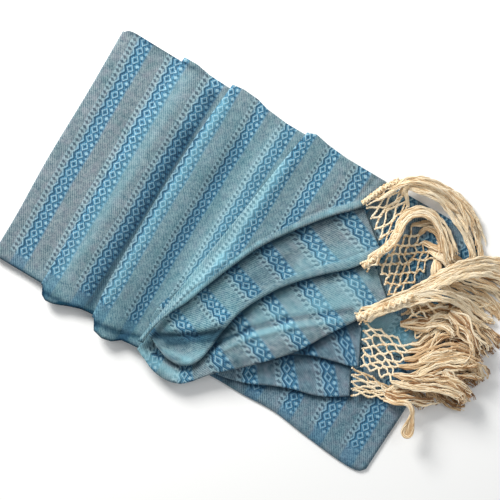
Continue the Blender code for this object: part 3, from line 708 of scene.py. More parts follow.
# %% Broad stretches
PANEL_LEFT = [
    (0, 2, 92, 1), (1, 60, 93, 60), (-1, 150, 96, 150), (0.5, 250, 100, 250), (0, 352, 104, 350),
]
stretch(
    "left_stretch", "panel_left", PANEL_LEFT, (110, 34),
    bands=[(0, 33, 33, 33), (1, 82, 83, 84)], fold_in=1.7, wrap=True, seed=3,
    high_end=[(0.0, -6), (0.03, -2.6), (0.07, -0.8), (0.14, 0), (1.0, 0)],
    lines=[(52, 20, 50, 330, 9, 0.8), (66, 60, 70, 300, 7, -0.6), (18, 120, 16, 340, 8, 0.5)],
)

PANEL_SECOND = [
    (76, 0, 170, 0), (77, 50, 167, 50), (78.5, 120, 167, 120), (81, 200, 167.5, 200),
    (85, 280, 170, 280), (89, 357, 177, 351),
]
SECOND_NEAR = [(0.0, 0), (0.06, -11), (0.14, -16), (0.26, -15), (0.48, -7), (0.64, -2), (1.0, 1)]
SECOND_FAR = [(0.0, 0), (0.2, 1.5), (0.45, -1), (0.7, -0.5), (1.0, 0)]
stretch(
    "second_stretch", "panel_second", PANEL_SECOND, (114, 34),
    bands=[(1, 83, 84, 84), (2, 141, 136, 129), (3, 195, 190, 183)], fold_in=1.9, wrap=True, seed=5,
    low_end=SECOND_NEAR, high_end=SECOND_FAR,
    lines=[(147, -10, 149, 330, 10, -2.8), (108, 10, 114, 330, 12, 0.9), (118, 345, 150, 322, 6, 0.9),
           (96, 8, 100, 70, 7, 0.8), (84, -7, 118, -7, 3, -1.2), (118, -7, 157, 3, 3, -1.2)],
    shades=[(84, -7, 118, -7, 3, -0.9), (118, -7, 140, -5, 3, -0.9), (140, -5, 157, 3, 3, -0.9)],
)

PANEL_THIRD = [
    (157, -3, 243, 0), (152.5, 50, 248, 50), (152, 120, 255, 120), (152.5, 195, 265, 195),
    (156, 280, 279, 280), (163, 358, 296, 350),
]
THIRD_NEAR = [(0.0, 0), (0.1, -15), (0.27, -19), (0.42, -17), (0.56, -9), (0.75, -8), (1.0, -7)]
THIRD_FAR = [(0.0, 0), (0.1, 2.5), (0.28, 2), (0.4, -2), (0.65, -3.5), (1.0, -1)]
stretch(
    "third_stretch", "panel_third", PANEL_THIRD, (114, 42),
    bands=[(3, 166, 163, 164), (4, 210, 207, 205), (5, 257, 247, 241), (6, 300, 294, 290)],
    fold_in=2.5, back=12, wrap=True, seed=8, low_end=THIRD_NEAR, high_end=THIRD_FAR,
    lines=[(205, -20, 209, 300, 15, -2.8), (161, 10, 165, 340, 6, 1.0), (240, 60, 250, 330, 12, 2.4),
           (206, 352, 212, 300, 6, -1.1), (214, 352, 226, 322, 6, 0.9), (180, -4, 176, 60, 7, 0.9),
           (163, -8, 201, -3, 3, -1.8), (201, -3, 226, 6, 3, -1.8)],
    shades=[(163, -8, 201, -3, 3.2, -1.2), (201, -3, 226, 6, 3.2, -1.2), (170, -16, 196, -17, 4, 0.3)],
)

PANEL_FOURTH = [
    (226, 1, 232, 2), (229, 20, 235, 30), (233, 45, 244, 56), (238, 78, 255, 78),
    (243, 110, 267, 110), (249, 150, 284, 152), (256, 195, 303, 192), (263, 240, 333, 236),
    (269, 282, 364, 275), (275, 320, 393, 307), (281, 353, 405, 349),
]
FOURTH_FAR = [(0.0, 0), (0.08, 4), (0.25, 0.5), (0.5, -1.5), (1.0, 0)]
print("three broad stretches lie; the fourth lies over the first pleat")

# %% [markdown]
# ### The fanned end
#
# The top end of the shawl was gathered at the near edge and opened like a fan. Its four pleats
# are laid lowest first, and the last broad stretch, which runs out into the fringe, lies over
# the first of them. The second pleat wraps round the gather and hangs over the near edge.

# %% Pleats, the gather and the last broad stretch
FAR_CORNER = [
    (448, 146, 448, 208), (480, 146, 480, 207), (510, 150, 512, 204), (532, 156, 534, 199),
    (550, 164, 552, 192),
]
stretch(
    "far_end_corner", "far_corner", [(r[2], r[3], r[0], r[1]) for r in FAR_CORNER], (34, 22),
    bands=[(0, 470, 188, 88), (1, 520, 186, 88)], mat=cloth_shaded, fan=12, seed=11,
    shades=[(470, 180, 530, 180, 26, 0.45)],
)

PLEAT_FOURTH = [
    (328, 40, 330, 14), (350, 52, 352, 17), (376, 74, 380, 25), (402, 96, 408, 38),
    (430, 112, 437, 49), (455, 120, 467, 57), (478, 124, 489, 68), (489, 112, 506, 79),
]
HEM_OF_FOURTH = [(232, 2), (235, 30), (244, 56), (255, 78), (267, 110), (284, 152), (303, 192), (333, 236),
                 (364, 275), (393, 307)]
HEM_OF_FIRST = [(252, 7), (272, 0.5), (292, 2), (307, 16), (313, 42), (316, 70), (324, 104), (345, 145),
                (366, 173), (396, 204), (422, 228), (449, 264)]
HEM_OF_SECOND = [(313, -11), (323, 1), (336, 16), (356, 34), (376, 53), (398, 76), (418, 100), (436, 130),
                 (462, 170), (490, 211)]
HEM_OF_THIRD = [(336, 22), (356, 40), (382, 65), (410, 87), (437, 101), (465, 109), (486, 114), (497, 119)]
HEM_OF_LAST = [(330, 14), (352, 17), (380, 25), (408, 38), (437, 49), (467, 57), (489, 68), (506, 79)]

stretch(
    "fourth_pleat", "pleat_fourth", PLEAT_FOURTH, (62, 26),
    bands=[(0, 470, 84, -48), (-1, 424, 58, -50), (-2, 376, 36, -56)], mat=cloth_shaded, fan=6,
    fold_out=1.9, seed=13,
    lines=[(345, 34, 470, 96, 6, 1.6), (350, 24, 480, 84, 6, -0.9)],
    shades=[(400, 66, 470, 92, 10, -0.2), (332, 26, 390, 62, 6, -0.4),
            (390, 72, 440, 96, 7, -0.4), (440, 98, 490, 108, 7, -0.4),
            *beside_hem(HEM_OF_THIRD, 1.0, 3.6, -1.2)],
)

PLEAT_THIRD = [
    (332, 52, 336, 22), (348, 70, 356, 40), (368, 92, 382, 65), (392, 118, 410, 87),
    (414, 146, 437, 101), (434, 170, 465, 109), (456, 184, 486, 114), (471, 172, 497, 119),
]
stretch(
    "third_pleat", "pleat_third", PLEAT_THIRD, (62, 26),
    bands=[(0, 467, 134, -34), (-1, 424, 104, -34), (-2, 384, 70, -36)], mat=cloth_shaded, fan=6,
    fold_out=1.9, seed=17, lines=[(380, 78, 470, 150, 7, -1.2)],
    shades=[(340, 28, 380, 58, 8, -0.5), (380, 58, 424, 100, 8, -0.5), (424, 100, 470, 168, 8, -0.5),
            (430, 110, 470, 130, 14, -0.2), (402, 108, 440, 130, 9, 0.45), *beside_hem(HEM_OF_SECOND, 1.0, 3.6, -1.2)],
)

PLEAT_SECOND = [
    (234, 24, 230, -9), (246, 17, 246, -16), (262, 13, 262, -23), (280, 14, 283, -25.5),
    (294, 22, 301, -21), (304, 38, 313, -11), (308, 56, 323, 1), (312, 80, 336, 16),
    (318, 104, 356, 34), (328, 130, 376, 53), (346, 160, 398, 76), (370, 194, 418, 100),
    (398, 222, 436, 130), (424, 246, 462, 170), (447, 247, 490, 211),
]
stretch(
    "second_pleat", "pleat_second", PLEAT_SECOND, (136, 54),
    bands=[(0, 455, 203, -22), (-1, 411, 163, -20), (-2, 374, 124, -20), (-3, 342, 84, -22),
           (-4, 318, 40, -24), (-5, 300, -4, -60), (-6, 258, -6, -100)],
    fan=4, fold_out=2.0, seed=19,
    lines=[(324, 40, 352, 80, 5, 2.6), (352, 80, 390, 117, 5, 2.8), (390, 117, 460, 170, 5, 2.4),
           (316, 48, 344, 88, 4.5, -2.6), (344, 88, 382, 126, 4.5, -2.8), (382, 126, 452, 180, 4.5, -2.2),
           (250, 2, 300, 6, 6, -1.4), (340, 44, 420, 112, 6, -0.8), (246, -8, 270, -16, 5, 1.0),
           (247, 19, 290, 45, 7, -2.4), (290, 45, 318, 72, 7, -2.4)],
    shades=[(232, 10, 256, -2, 5, -0.6), (256, -3, 294, -4, 3, -0.7), (296, -3, 313, 13, 3, -0.7),
            (318, 26, 322, 74, 7, -0.5), (322, 74, 332, 104, 7, -0.4), (332, 104, 352, 142, 7, -0.35),
            (352, 142, 374, 172, 7, -0.3), (374, 172, 404, 202, 7, -0.3), (404, 202, 452, 246, 7, -0.3),
            *beside_hem(HEM_OF_FIRST[3:], 1.0, 3.2, -1.1),
            (315, 45, 344, 86, 3, -1.0), (344, 86, 383, 124, 3, -1.0), (383, 124, 451, 178, 3, -0.8),
            (324, 40, 352, 80, 2.4, 0.2), (352, 80, 390, 117, 2.4, 0.2), (390, 117, 458, 169, 2.4, 0.2),
            (404, 190, 446, 226, 10, 0.2), (330, 20, 352, 42, 8, -0.35), (352, 42, 412, 100, 5, -0.3),
            (240, -12, 292, -14, 8, 0.55), (358, 96, 440, 190, 17, 0.4)],
)

PLEAT_FIRST = [
    (232, 16, 252, 7), (226, 34, 272, 0.5), (226, 52, 292, 2), (232, 74, 307, 16),
    (240, 98, 313, 42), (250, 122, 316, 70), (262, 150, 324, 104), (278, 180, 345, 145),
    (300, 214, 366, 173), (332, 254, 396, 204), (366, 290, 422, 228), (397, 304, 449, 264),
]
stretch(
    "first_pleat", "pleat_first", PLEAT_FIRST, (124, 52),
    bands=[(0, 412, 272, -21), (-1, 376, 224, -21), (-2, 341, 180, -20), (-3, 320, 134, -18),
           (-4, 297, 88, -16), (-5, 268, 46, -18), (-6, 252, 10, -20)],
    fan=6, fold_out=2.3, back=10, seed=23,
    strip=(3.0, 9.5, 0.46, 0.82), bald=[(250, 8, 290, 22, 12, 1.6), (290, 22, 312, 50, 10, 1.6)],
    shades=[(243, 20, 290, 44, 5, -1.1), (290, 44, 320, 70, 5, -1.1), (246, 14, 282, 28, 7, -0.5),
            (262, 21, 312, 57, 7, -0.8), (300, 48, 323, 68, 7, -0.8),
            (292, 10, 308, 30, 6, 0.35), (238, 74, 262, 122, 5, -0.5),
            (268, 112, 290, 150, 7, -0.35), (290, 150, 312, 190, 7, -0.35), (312, 190, 342, 232, 7, -0.35),
            (342, 232, 372, 272, 7, -0.35), (372, 272, 398, 300, 7, -0.3), (262, 8, 298, 12, 5, 0.3),
            *beside_hem(HEM_OF_FOURTH[2:], 1.0, 3.2, -1.1),
            (356, 190, 420, 250, 16, 0.22), (312, 140, 342, 192, 12, -0.5)],
    lines=[(247, 19, 290, 45, 4.5, -2.8), (290, 45, 318, 72, 4.5, -2.8), (254, 36, 298, 64, 8, 3.6),
           (298, 64, 318, 92, 8, 3.2), (268, 16, 296, 28, 6, -1.0), (266, 4, 300, 12, 4, 1.0),
           (300, 150, 392, 255, 10, -1.2), (326, 190, 352, 222, 9, 1.0)],
)

stretch(
    "fourth_stretch", "panel_fourth", PANEL_FOURTH, (112, 44),
    bands=[(6, 285, 277, 250), (7, 323, 318, 300), (8, 370, 362, 350)],
    fold_in=1.6, fold_out=2.3, wrap=True, seed=29, high_end=FOURTH_FAR,
    strip=(2.5, 9.5, 0.45, 0.78), shades=beside_hem(HEM_OF_FOURTH[5:], -5.0, 3.6, 0.35),
    lines=[(262, 110, 282, 310, 8, 1.8), (296, 200, 322, 340, 13, -1.6), (338, 262, 352, 345, 10, 1.2),
           (240, 40, 262, 100, 5, 0.8)],
)

# %% [markdown]
# ### The lowest stretch
#
# The lowest stretch lies flat under the whole pile and shows at the right-hand corner, where
# its corners are worn round. It has no folds of its own, so its outline is drawn as three
# smooth curves, and the grid between them is two plain weaves with a faint waviness.

# %% Lowest stretch
BASE_NEAR = [
    (3, 3), (60, 2.5), (180, 2), (290, 4), (335, 8), (380, 8), (430, 9.5), (475, 3.5),
    (500, 0.5), (540, -3.3), (562, -3.3), (571, -0.5), (575.3, 5),
]
BASE_RIGHT = [(575.3, 5), (577.3, 50), (580, 100), (581, 170), (580, 230), (577, 280), (570, 310)]
BASE_FAR = [
    (570, 310), (559, 331), (546, 344), (528, 350), (440, 350.3), (320, 349.3), (120, 349.3),
    (3, 348),
]
BASE_LEFT = 3.0  # u of the left side
NEAR_LENGTH, FAR_LENGTH = 572.3, 567.0  # of the near and the far side
RIGHT_FROM, RIGHT_LENGTH = 5.0, 305.0  # v where the right side starts, and its length
BASE_UPPER, BASE_LOWER = 2.45, 0.75  # height of the middle of each weave
BASE_SHADES = [
    *beside_hem(HEM_OF_LAST, 1.0, 3.6, -1.2), (384, 18, 440, 44, 8, -0.3),
    (440, 44, 500, 72, 8, -0.3), (500, 76, 548, 100, 10, -0.5), (556, 130, 560, 210, 14, -0.5),
    (480, 180, 520, 300, 30, -0.3),
]


def base_plan(rows=46, columns=104):
    """Grid of points inside the outline of the lowest stretch."""
    near, right, far = through(BASE_NEAR, 120), through(BASE_RIGHT, 60), through(BASE_FAR, 120)
    far = far[np.argsort(far[:, 0])]
    s, t = np.linspace(0, 1, columns), np.linspace(0, 1, rows)[:, None]
    near_u, far_u = BASE_LEFT + s * NEAR_LENGTH, BASE_LEFT + s * FAR_LENGTH
    right_u = np.interp(RIGHT_FROM + t * RIGHT_LENGTH, right[:, 1], right[:, 0])
    u = BASE_LEFT + s * (right_u - BASE_LEFT)
    u[0], u[-1] = near_u, far_u
    v = np.interp(near_u, near[:, 0], near[:, 1]) * (1 - t)
    v = v + np.interp(far_u, far[:, 0], far[:, 1]) * t
    return np.dstack([u, v])


plan = base_plan()
marks = across_pile([(7, 392, 392, 392), (8, 443, 443, 443), (9, 496, 496, 496),
                     (10, 545, 547, 545)], plan)
shown = np.clip((plan[..., 1] - 18) / 4, 0, 1)
none = np.zeros(shown.shape)
marks = np.dstack([marks, shown, none, none])
top = np.dstack([plan, BASE_UPPER + 0.25 * waves(plan[..., 0], plan[..., 1], 31, 60)])
bottom = np.dstack([plan, none + BASE_LOWER])
base = grid_mesh("lowest_stretch", [(top, marks), (bottom, marks)], cloth_shaded, BASE_SHADES, 1.3)
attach(base, "root")
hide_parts("under_panel")

# %% [markdown]
# ### The hidden layers
#
# Between the lowest stretch and the top lie the inner folds of the pile. Only their edges show,
# and only from the side. A single grooved block would look like a stack of boards, so these are
# thin sheets with uneven ends, spaced evenly from the lowest stretch up to the underside of the
# upper ones, which they follow.

# %% Hidden layers
LAYERS = 8
LAYERS_FROM = 4.6  # height of the lowest one
DIPS = [(147, -10, 149, 330, 12, -2.8), (205, -20, 209, 300, 17, -2.8)]  # under the pressed folds


def layer_sheets(rows=44, columns=40):
    """Thin flat sheets between the lowest stretch and the underside of the upper ones."""
    tree = surface_of("hidden_layers")
    t = np.linspace(0, 1, rows)[:, None] * np.ones((1, columns))
    s = np.linspace(0, 1, columns)[None, :] * np.ones((rows, 1))
    for k in range(LAYERS):
        shift = rng.uniform(0.2, 3.0, 4)
        v = 5 + shift[0] + t * (340 - shift[0] - shift[1])
        round_end = 2.5 * (1 - np.clip(np.minimum(t, 1 - t) * 40, 0, 1))
        left = 6 + shift[2] + 0.8 * np.sin(v / 31 + k) + round_end
        right = 289 + 0.34 * v - shift[3]
        u = left + s * (right - left)
        top = fill_gaps(top_at(tree, u, v)) - 0.9
        dip = np.minimum(spread(u, v, DIPS), 0)
        z = LAYERS_FROM + (soften(top, 4) + dip - LAYERS_FROM) * (k / (LAYERS - 1))
        plain = np.zeros(u.shape)
        yield np.dstack([u, v, z]), np.dstack([u, v, plain + 1, plain, plain])


layers = grid_mesh("hidden_layers_folded", layer_sheets(), cloth_shaded, weave=1.1)
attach(layers, "root")
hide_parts("hidden_layers")

# %% [markdown]
# ## Yarns of the fringe
#
# The fringe is what is left of the warp: yarns knotted into a net, then hanging loose in locks.
# Hair particles would be quick, but they leave no mesh. Here every yarn is a thin tube, a curve
# with a four-sided bevel, and a whole fringe is one curve object, so that thousands of yarns
# stay light. The yarns take their heights from the frame's solid for that fringe.

# %% A collector of yarns
YARN = 0.56  # radius of one yarn in the locks
CORD = 1.15  # radius of one yarn in the nets
STRAND = 1.42  # radius of a strand, a twist of five yarns round one
YARNS_ROUND = 5
LOCK_THICK = 3.4  # thickness of a lock in the frame
GROUND = 5.5  # height of a strand's upper side where it lies on the lowest stretch
NO_TOP = 6.0  # height taken for a line that nothing of the frame lies under


class Yarns:
    """Collects yarns as lists of points and radii, then makes one curve object."""

    def __init__(self, name, node):
        self.name = name
        self.node = node
        self.tree = surface_of(node)
        self.splines = []

    def add(self, points, radii, shade=CLEAN):
        self.splines.append((np.array(points, float), np.broadcast_to(radii, len(points)), shade))

    def top(self, line):
        """Heights of the fringe below a line, nan where there is none."""
        return top_at(self.tree, line[:, 0], line[:, 1])

    def top_bridged(self, line):
        """The same with the missing heights read between those beside them."""
        top, t = self.top(line), np.linspace(0, 1, len(line))
        good = ~np.isnan(top)
        return np.interp(t, t[good], top[good]) if good.any() else np.full(len(line), NO_TOP)

    def make(self):
        curve = bpy.data.curves.new(self.name, "CURVE")
        curve.dimensions = "3D"
        curve.bevel_depth = 1 / MM  # a point's radius is then in millimetres
        curve.bevel_resolution = 0
        curve.use_fill_caps = True
        for mat in YARNS:
            curve.materials.append(mat)
        for points, radii, shade in self.splines:
            spline = curve.splines.new("POLY")
            spline.points.add(len(points) - 1)
            flat = np.column_stack([metres(points), np.ones(len(points))])
            spline.points.foreach_set("co", flat.ravel())
            spline.points.foreach_set("radius", np.array(radii, float))
            spline.use_smooth = True
            spline.material_index = shade
        obj = new_object(self.name, curve)
        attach(obj, "root")
        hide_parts(self.node)
        triangles = sum(8 * len(p[0]) for p in self.splines)
        print(self.name, "yarns", len(self.splines), "triangles", triangles)


def soft_heights(heights, rounds):
    """A line of heights, softened."""
    return soften(heights[:, None], rounds)[:, 0]


print("a strand is", YARNS_ROUND + 1, "yarns of", 2 * YARN, "mm")

# %% [markdown]
# ### Nets and knots
#
# The net is tied: pairs of cords run slantwise from knot to knot and cross at each one, which
# leaves diamond holes. A flat pattern with holes would show from the side, so each pair is two
# real cords twisted round each other, and each knot a short thick turn of yarn on the crossing,
# a little out of place, as hand-tied knots are.

# %% Knots and twisted cords
NET_STEPS = 40  # steps along the edges of a net
CORD_TURN = 8.0  # length of one turn of a twisted pair
PAIR_REACH = 0.7  # from the middle of a pair to each cord
CROSS_SIDE, CROSS_ALONG = 0.85, 1.7  # how a pair passes beside a crossing and runs through it
KNOT_SIZE, ROOT_KNOT_SIZE = 1.7, 1.25
KNOT_SINK = 0.9  # knots lie this much into the frame's net
KNOT_TURNS = 1.2


def net_place(root, far, a, b):
    """Plan position in a net, a along its edge and b outwards, both 0 to 1."""
    k = a * NET_STEPS
    i = int(min(k, NET_STEPS - 1))
    p = root[i] * (1 - (k - i)) + root[i + 1] * (k - i)
    q = far[i] * (1 - (k - i)) + far[i + 1] * (k - i)
    return p * (1 - b) + q * b


def knot(yarns, p, size, ahead):
    """A knot: a short thick twist of yarn."""
    lean = rng.uniform(-0.6, 0.6)
    c, s = math.cos(lean), math.sin(lean)
    d = np.array([ahead[0] * c - ahead[1] * s, ahead[0] * s + ahead[1] * c, 0.0])
    side = np.array([-d[1], d[0], 0.0])
    points, radii = [], []
    for t in np.linspace(0, 1, 11):
        angle = t * KNOT_TURNS * TURN
        points.append(p + d * (t - 0.5) * 1.6 * size + side * math.sin(angle) * 0.55 * size
                      + np.array([0, 0, math.cos(angle) * 0.4 * size]))
        radii.append(size * (0.42 + 0.34 * math.sin(math.pi * t)))
    yarns.add(points, radii, int(rng.random() < 0.2))


def knot_places(yarns, root, far, steps, rows, jitter):
    """Where the knots of a net lie: a dictionary of (number along, row) to u, v, height."""
    places = {}
    for j in range(rows + 1):
        for i in range(j % 2, steps + 1, 2):
            p = net_place(root, far, i / steps, j / rows)
            places[i, j] = [*p, yarns.top(p[None])[0]]
    known = [w[2] for w in places.values() if not math.isnan(w[2])] or [GROUND + 5]
    for (_, j), w in places.items():
        if math.isnan(w[2]):
            w[2] = float(np.mean(known))
        w[2] -= KNOT_SINK
        w[0] += rng.normal(0, jitter) * (j > 0)
        w[1] += rng.normal(0, jitter) * (j > 0)
    return {key: np.array(w) for key, w in places.items()}


def net(yarns, root, far, cells, rows, jitter=1.3):
    """Knots and twisted cords of a diamond net. Returns the places of the knots."""
    r, f = through(root, NET_STEPS + 1), through(far, NET_STEPS + 1)
    steps = 2 * cells
    places = knot_places(yarns, r, f, steps, rows, jitter)
    out = (f - r).mean(axis=0)
    out = np.array([*(out / np.linalg.norm(out)), 0.0])
    over = np.array([*((r[-1] - r[0]) / np.linalg.norm(r[-1] - r[0])), 0.0])
    for i in range(0, steps + 1, 2):
        for lean in (-1, 1):
            keys = [(i + lean * (j % 2), j) for j in range(rows + 1)]
            if any(key not in places for key in keys):
                continue
            bends = []
            for j, w in enumerate(places[key] for key in keys):
                beside_it = over * (CROSS_SIDE * lean * (1 if j % 2 == 0 else -1))
                if j:
                    half_way = (before + w) / 2
                    sag = over * rng.normal(0, 0.9) + out * rng.normal(0, 0.9)
                    bends += [half_way + sag, w + beside_it - out * CROSS_ALONG]
                bends.append(w + beside_it + out * CROSS_ALONG * (j < rows))
                before = w
            centre = through(bends, 9 * rows + 2)
            s = distances(centre)[:, None]
            first = rng.uniform(0, 6.28)
            for phase in (0.0, math.pi):
                angle = s * TURN / CORD_TURN + phase + first
                cord = centre + over * np.sin(angle) * PAIR_REACH
                cord[:, 2:3] += np.cos(angle) * PAIR_REACH
                yarns.add(cord, CORD * rng.uniform(0.8, 1.15), int(rng.random() < 0.25))
    for (_, j), w in places.items():
        knot(yarns, w, (KNOT_SIZE if j else ROOT_KNOT_SIZE) * rng.uniform(0.8, 1.2), over)
    return places


print("a pair of cords turns once every", CORD_TURN, "mm")

# %% [markdown]
# ### Strands and locks
#
# A lock is a bundle of strands, and a strand is six thin yarns twisted together. The lock's
# centre line is drawn; each strand then keeps its own place across the bundle, sways
# and kinks a little, ends early or flares at the tip, as combed cotton does. This keeps the
# shape under control where a hair simulation would have to be steered.

# %% Strands and locks
LOCK_STEP = 4.5  # distance between the points of a strand
STRANDS_PER_MM = 0.60  # of a lock's width
LOCK_SHAPE = ([0, 0.08, 0.3, 0.85, 1.0], [0.25, 0.6, 0.95, 1.0, 1.05])  # share of its width
TIP_FLARE = 3.4  # how far tips stray, mostly


def strand(yarns, centre, side, height, t, radius, tone, fray):
    """Five thin yarns twisted round a sixth, opening a little at the tip."""
    s = distances(centre)
    twist = rng.choice([-1, 1]) * TURN / rng.uniform(26, 60)
    first = rng.uniform(0, 6.28)
    open_up = 1 + fray * np.clip((t - t[-1] + 0.16) / 0.16, 0, 1) ** 2
    for k in range(YARNS_ROUND + 1):
        reach = 0.0 if k == YARNS_ROUND else radius * rng.uniform(0.62, 0.95)
        angle = first + k * TURN / YARNS_ROUND + twist * s
        loose = 0.18 * radius * np.sin(s / rng.uniform(3.5, 7) + rng.uniform(0, 6.28))
        off = reach * np.cos(angle) * open_up + loose
        z = np.maximum(height + reach * np.sin(angle) * 0.85 * open_up, YARN + 0.35)
        points = np.column_stack([centre + side * off[:, None], z])
        last = len(points) - int(rng.integers(0, 3))
        size = YARN * rng.uniform(0.85, 1.2)
        own = tone if rng.random() < 0.75 else int(rng.integers(0, 2))
        yarns.add(points[:last], size, own)


def lock(yarns, line, width, start=None, shade=0.35, tan_and_shade=0.0, fill=1.0, heights=None):
    """A bundle of strands along a centre line, spread over its width, at given or found heights."""
    line = np.array(line, float)
    if start is not None:
        line = np.concatenate([[start[:2]], line])
    n = max(12, int(distances(line)[-1] / LOCK_STEP))
    centre = through(line, n)
    side = headings(centre)[1]
    t = np.linspace(0, 1, n)
    top = yarns.top_bridged(centre)
    if heights:
        top = np.interp(t, np.linspace(0, 1, len(heights)), heights)
    top = soft_heights(top, 3) - LOCK_THICK / 2
    if start is not None:
        top[0] = start[2]
    top = np.maximum(top, STRAND + 0.6)
    half = 0.5 * width * np.interp(t, *LOCK_SHAPE)
    s = t * n * LOCK_STEP
    rooted = np.clip(t * 5, 0, 1)  # strands are held at the root and free further on
    count = int(max(3, round(width * STRANDS_PER_MM * fill)))
    for k in range(count):
        w = ((k + 0.5) / count * 2 - 1) * 0.86 + rng.normal(0, 0.07)
        h = (k % 2 - 0.5) * 0.9 + rng.normal(0, 0.25)
        f1, f2 = rng.uniform(0.6, 1.6), rng.uniform(1.6, 3.4)
        p1, p2 = rng.uniform(0, 6.3), rng.uniform(0, 6.3)
        sway = 0.26 * np.sin(f1 * 6.28 * t + p1) + 0.12 * np.sin(f2 * 6.28 * t + p2)
        kink = rng.uniform(0.35, 0.95) * np.sin(s * TURN / rng.uniform(13, 26) + p2)
        flare = rng.normal(0, TIP_FLARE) * np.clip((t - 0.55) / 0.45, 0, 1) ** 2
        off = w * half + (sway * half + kink) * rooted + flare
        z = top + h * LOCK_THICK * 0.42 + 0.5 * np.sin(s / rng.uniform(4, 9) + p1) * rooted
        droop = np.clip((t - 0.8) / 0.2, 0, 1) * rng.uniform(0, 1.4)
        z = np.maximum(z - droop, STRAND + 0.3)
        keep = t <= max(1.0 - abs(rng.normal(0, 0.08)), 0.7)
        low = 0.25 if h < -0.2 else 0.0  # painted shade: the lower strands take the shaded and the tan yarn more often
        tone = TAN_AND_DEEP_SHADE if rng.random() < tan_and_shade * (1 + 4 * low) else int(rng.random() < shade + low)
        strand(yarns, (centre + side * off[:, None])[keep], side[keep], z[keep], t[keep],
               STRAND * rng.uniform(0.8, 1.2), tone, rng.uniform(0.2, 1.3))


print("a lock has", STRANDS_PER_MM, "strands for each millimetre of its width")

# %% [markdown]
# ### Loose curls, plaited roots and the closed loop
#
# Handling leaves single strands curling over the locks, the folded corners end in thick plaits
# before they open into bundles, and one lock ends as a closed loop. All three are strands laid
# on other lines: short wandering ones, three that pass over each other, and lines that go out
# along one side and come back along the other.

# %% Curls, plaits and the loop
CURL_STEP = 3.2
PLAIT_STEP = 2.2


def curls(yarns, zone, count, lift=1.6, shade=0.5, tan_and_shade=0.2, held=0.9):
    """Loose strands over a lock, inside an ellipse: u, v, half sizes, heading in degrees."""
    u, v, long_half, short_half, heading = zone
    h = math.radians(heading)
    for _ in range(count):
        reach, angle = math.sqrt(rng.random()), rng.uniform(0, TURN)
        a, b = long_half * reach * math.cos(angle), short_half * reach * math.sin(angle)
        start = np.array([u + a * math.cos(h) - b * math.sin(h),
                          v + a * math.sin(h) + b * math.cos(h)])
        n = int(rng.integers(9, 20))
        s = np.arange(n) * CURL_STEP
        way = h + rng.normal(0, 0.5) + rng.normal(0, 0.022) * s
        way = way + rng.uniform(0.15, 0.5) * np.sin(s / rng.uniform(6, 11))
        steps = np.column_stack([np.cos(way), np.sin(way)]) * CURL_STEP
        plan = start + np.cumsum(steps, axis=0)
        top = yarns.top(plan)
        good = ~np.isnan(top)
        if good.sum() < n * held:
            continue
        top = np.where(good, top, GROUND) if held < 0.5 else np.interp(s, s[good], top[good])
        z = soft_heights(top, 3) + lift * (np.sin(np.linspace(0.2, 2.9, n)) - 0.35)
        z = np.maximum(z - STRAND, STRAND + 0.4)
        side = np.column_stack([np.sin(way), -np.cos(way)])
        tone = TAN_AND_DEEP_SHADE if rng.random() < tan_and_shade else int(rng.random() < shade)
        strand(yarns, plan, side, z, np.linspace(0, 1, n), STRAND * rng.uniform(0.7, 1.1), tone,
               0.6)


def plait(yarns, line, width, pitch=17.0, shade=0.3):
    """Three thick twists laid over one another: the knotted root of a corner bundle."""
    line = np.array(line, float)
    n = int(distances(line)[-1] / PLAIT_STEP)
    centre = through(line, n)
    side = headings(centre)[1]
    t = np.linspace(0, 1, n)
    top = soft_heights(yarns.top_bridged(centre), 6)
    s = t * n * PLAIT_STEP
    wide = np.interp(t, [0, 0.25, 1], width)
    for k in range(3):
        phase = TURN * (s / pitch + k / 3)
        off = 0.30 * wide * np.sin(phase)
        z = np.maximum(top - 0.6 + 2.3 * np.cos(2 * phase), 4.0)
        for turn_at in (0.0, 1.57, 3.14, 4.71):
            around = turn_at + s / 9.0
            path = centre + side * (off + 0.10 * wide * np.cos(around))[:, None]
            tone = int(rng.random() < shade)
            strand(yarns, path, side, z + 1.1 * np.sin(around), t, 1.25, tone, 0.4)


def closed_loop(yarns, line, reaches):
    """A lock that runs out and back in a loop, so that its lower end is round."""
    middle = through(line, 26)
    ahead, side = headings(middle)
    opening = np.interp(np.linspace(0, 1, 26), [0, 0.5, 0.66, 0.92, 1], [0.35, 0.45, 0.4, 1.5, 1.6])
    for reach in reaches:
        apart = side * (reach * opening)[:, None]
        round_end = [middle[-1] + (side[-1] * math.cos(w) + ahead[-1] * math.sin(w)) * reach * 1.6
                     for w in np.linspace(0.35, math.pi - 0.35, 6)]
        loop = np.concatenate([middle + apart, round_end, (middle - apart)[::-1]])
        height = soft_heights(yarns.top_bridged(loop), 4) - 2.2 + rng.uniform(-0.6, 0.6)
        height = np.maximum(height, STRAND + 0.4)
        strand(yarns, loop, headings(loop)[1], height, np.linspace(0, 1, len(loop)), 1.1, SHADED,
               0.0)


print("curls have a point every", CURL_STEP, "mm, plaits every", PLAIT_STEP, "mm")

# %% [markdown]
# ### A whole fringe
#
# A fringe is one net and the locks that hang from its last row of knots. The locks of a bundle
# run side by side, each from the free knot that lies nearest to its share of the edge, as the
# yarns of a knot fall where they are tied.

# %% A net and its bundles
def side_by_side(line, width, n):
    """Centre lines of n locks that run side by side in a bundle, and the width of each."""
    line = np.array(line, float)
    side = headings(line)[1]
    widths = np.interp(np.linspace(0, 1, len(line)), np.linspace(0, 1, len(width)), width)
    each = float(np.mean(width)) / n * 1.02
    return [(line + side * (widths * ((k + 0.5) / n - 0.5))[:, None], each) for k in range(n)]


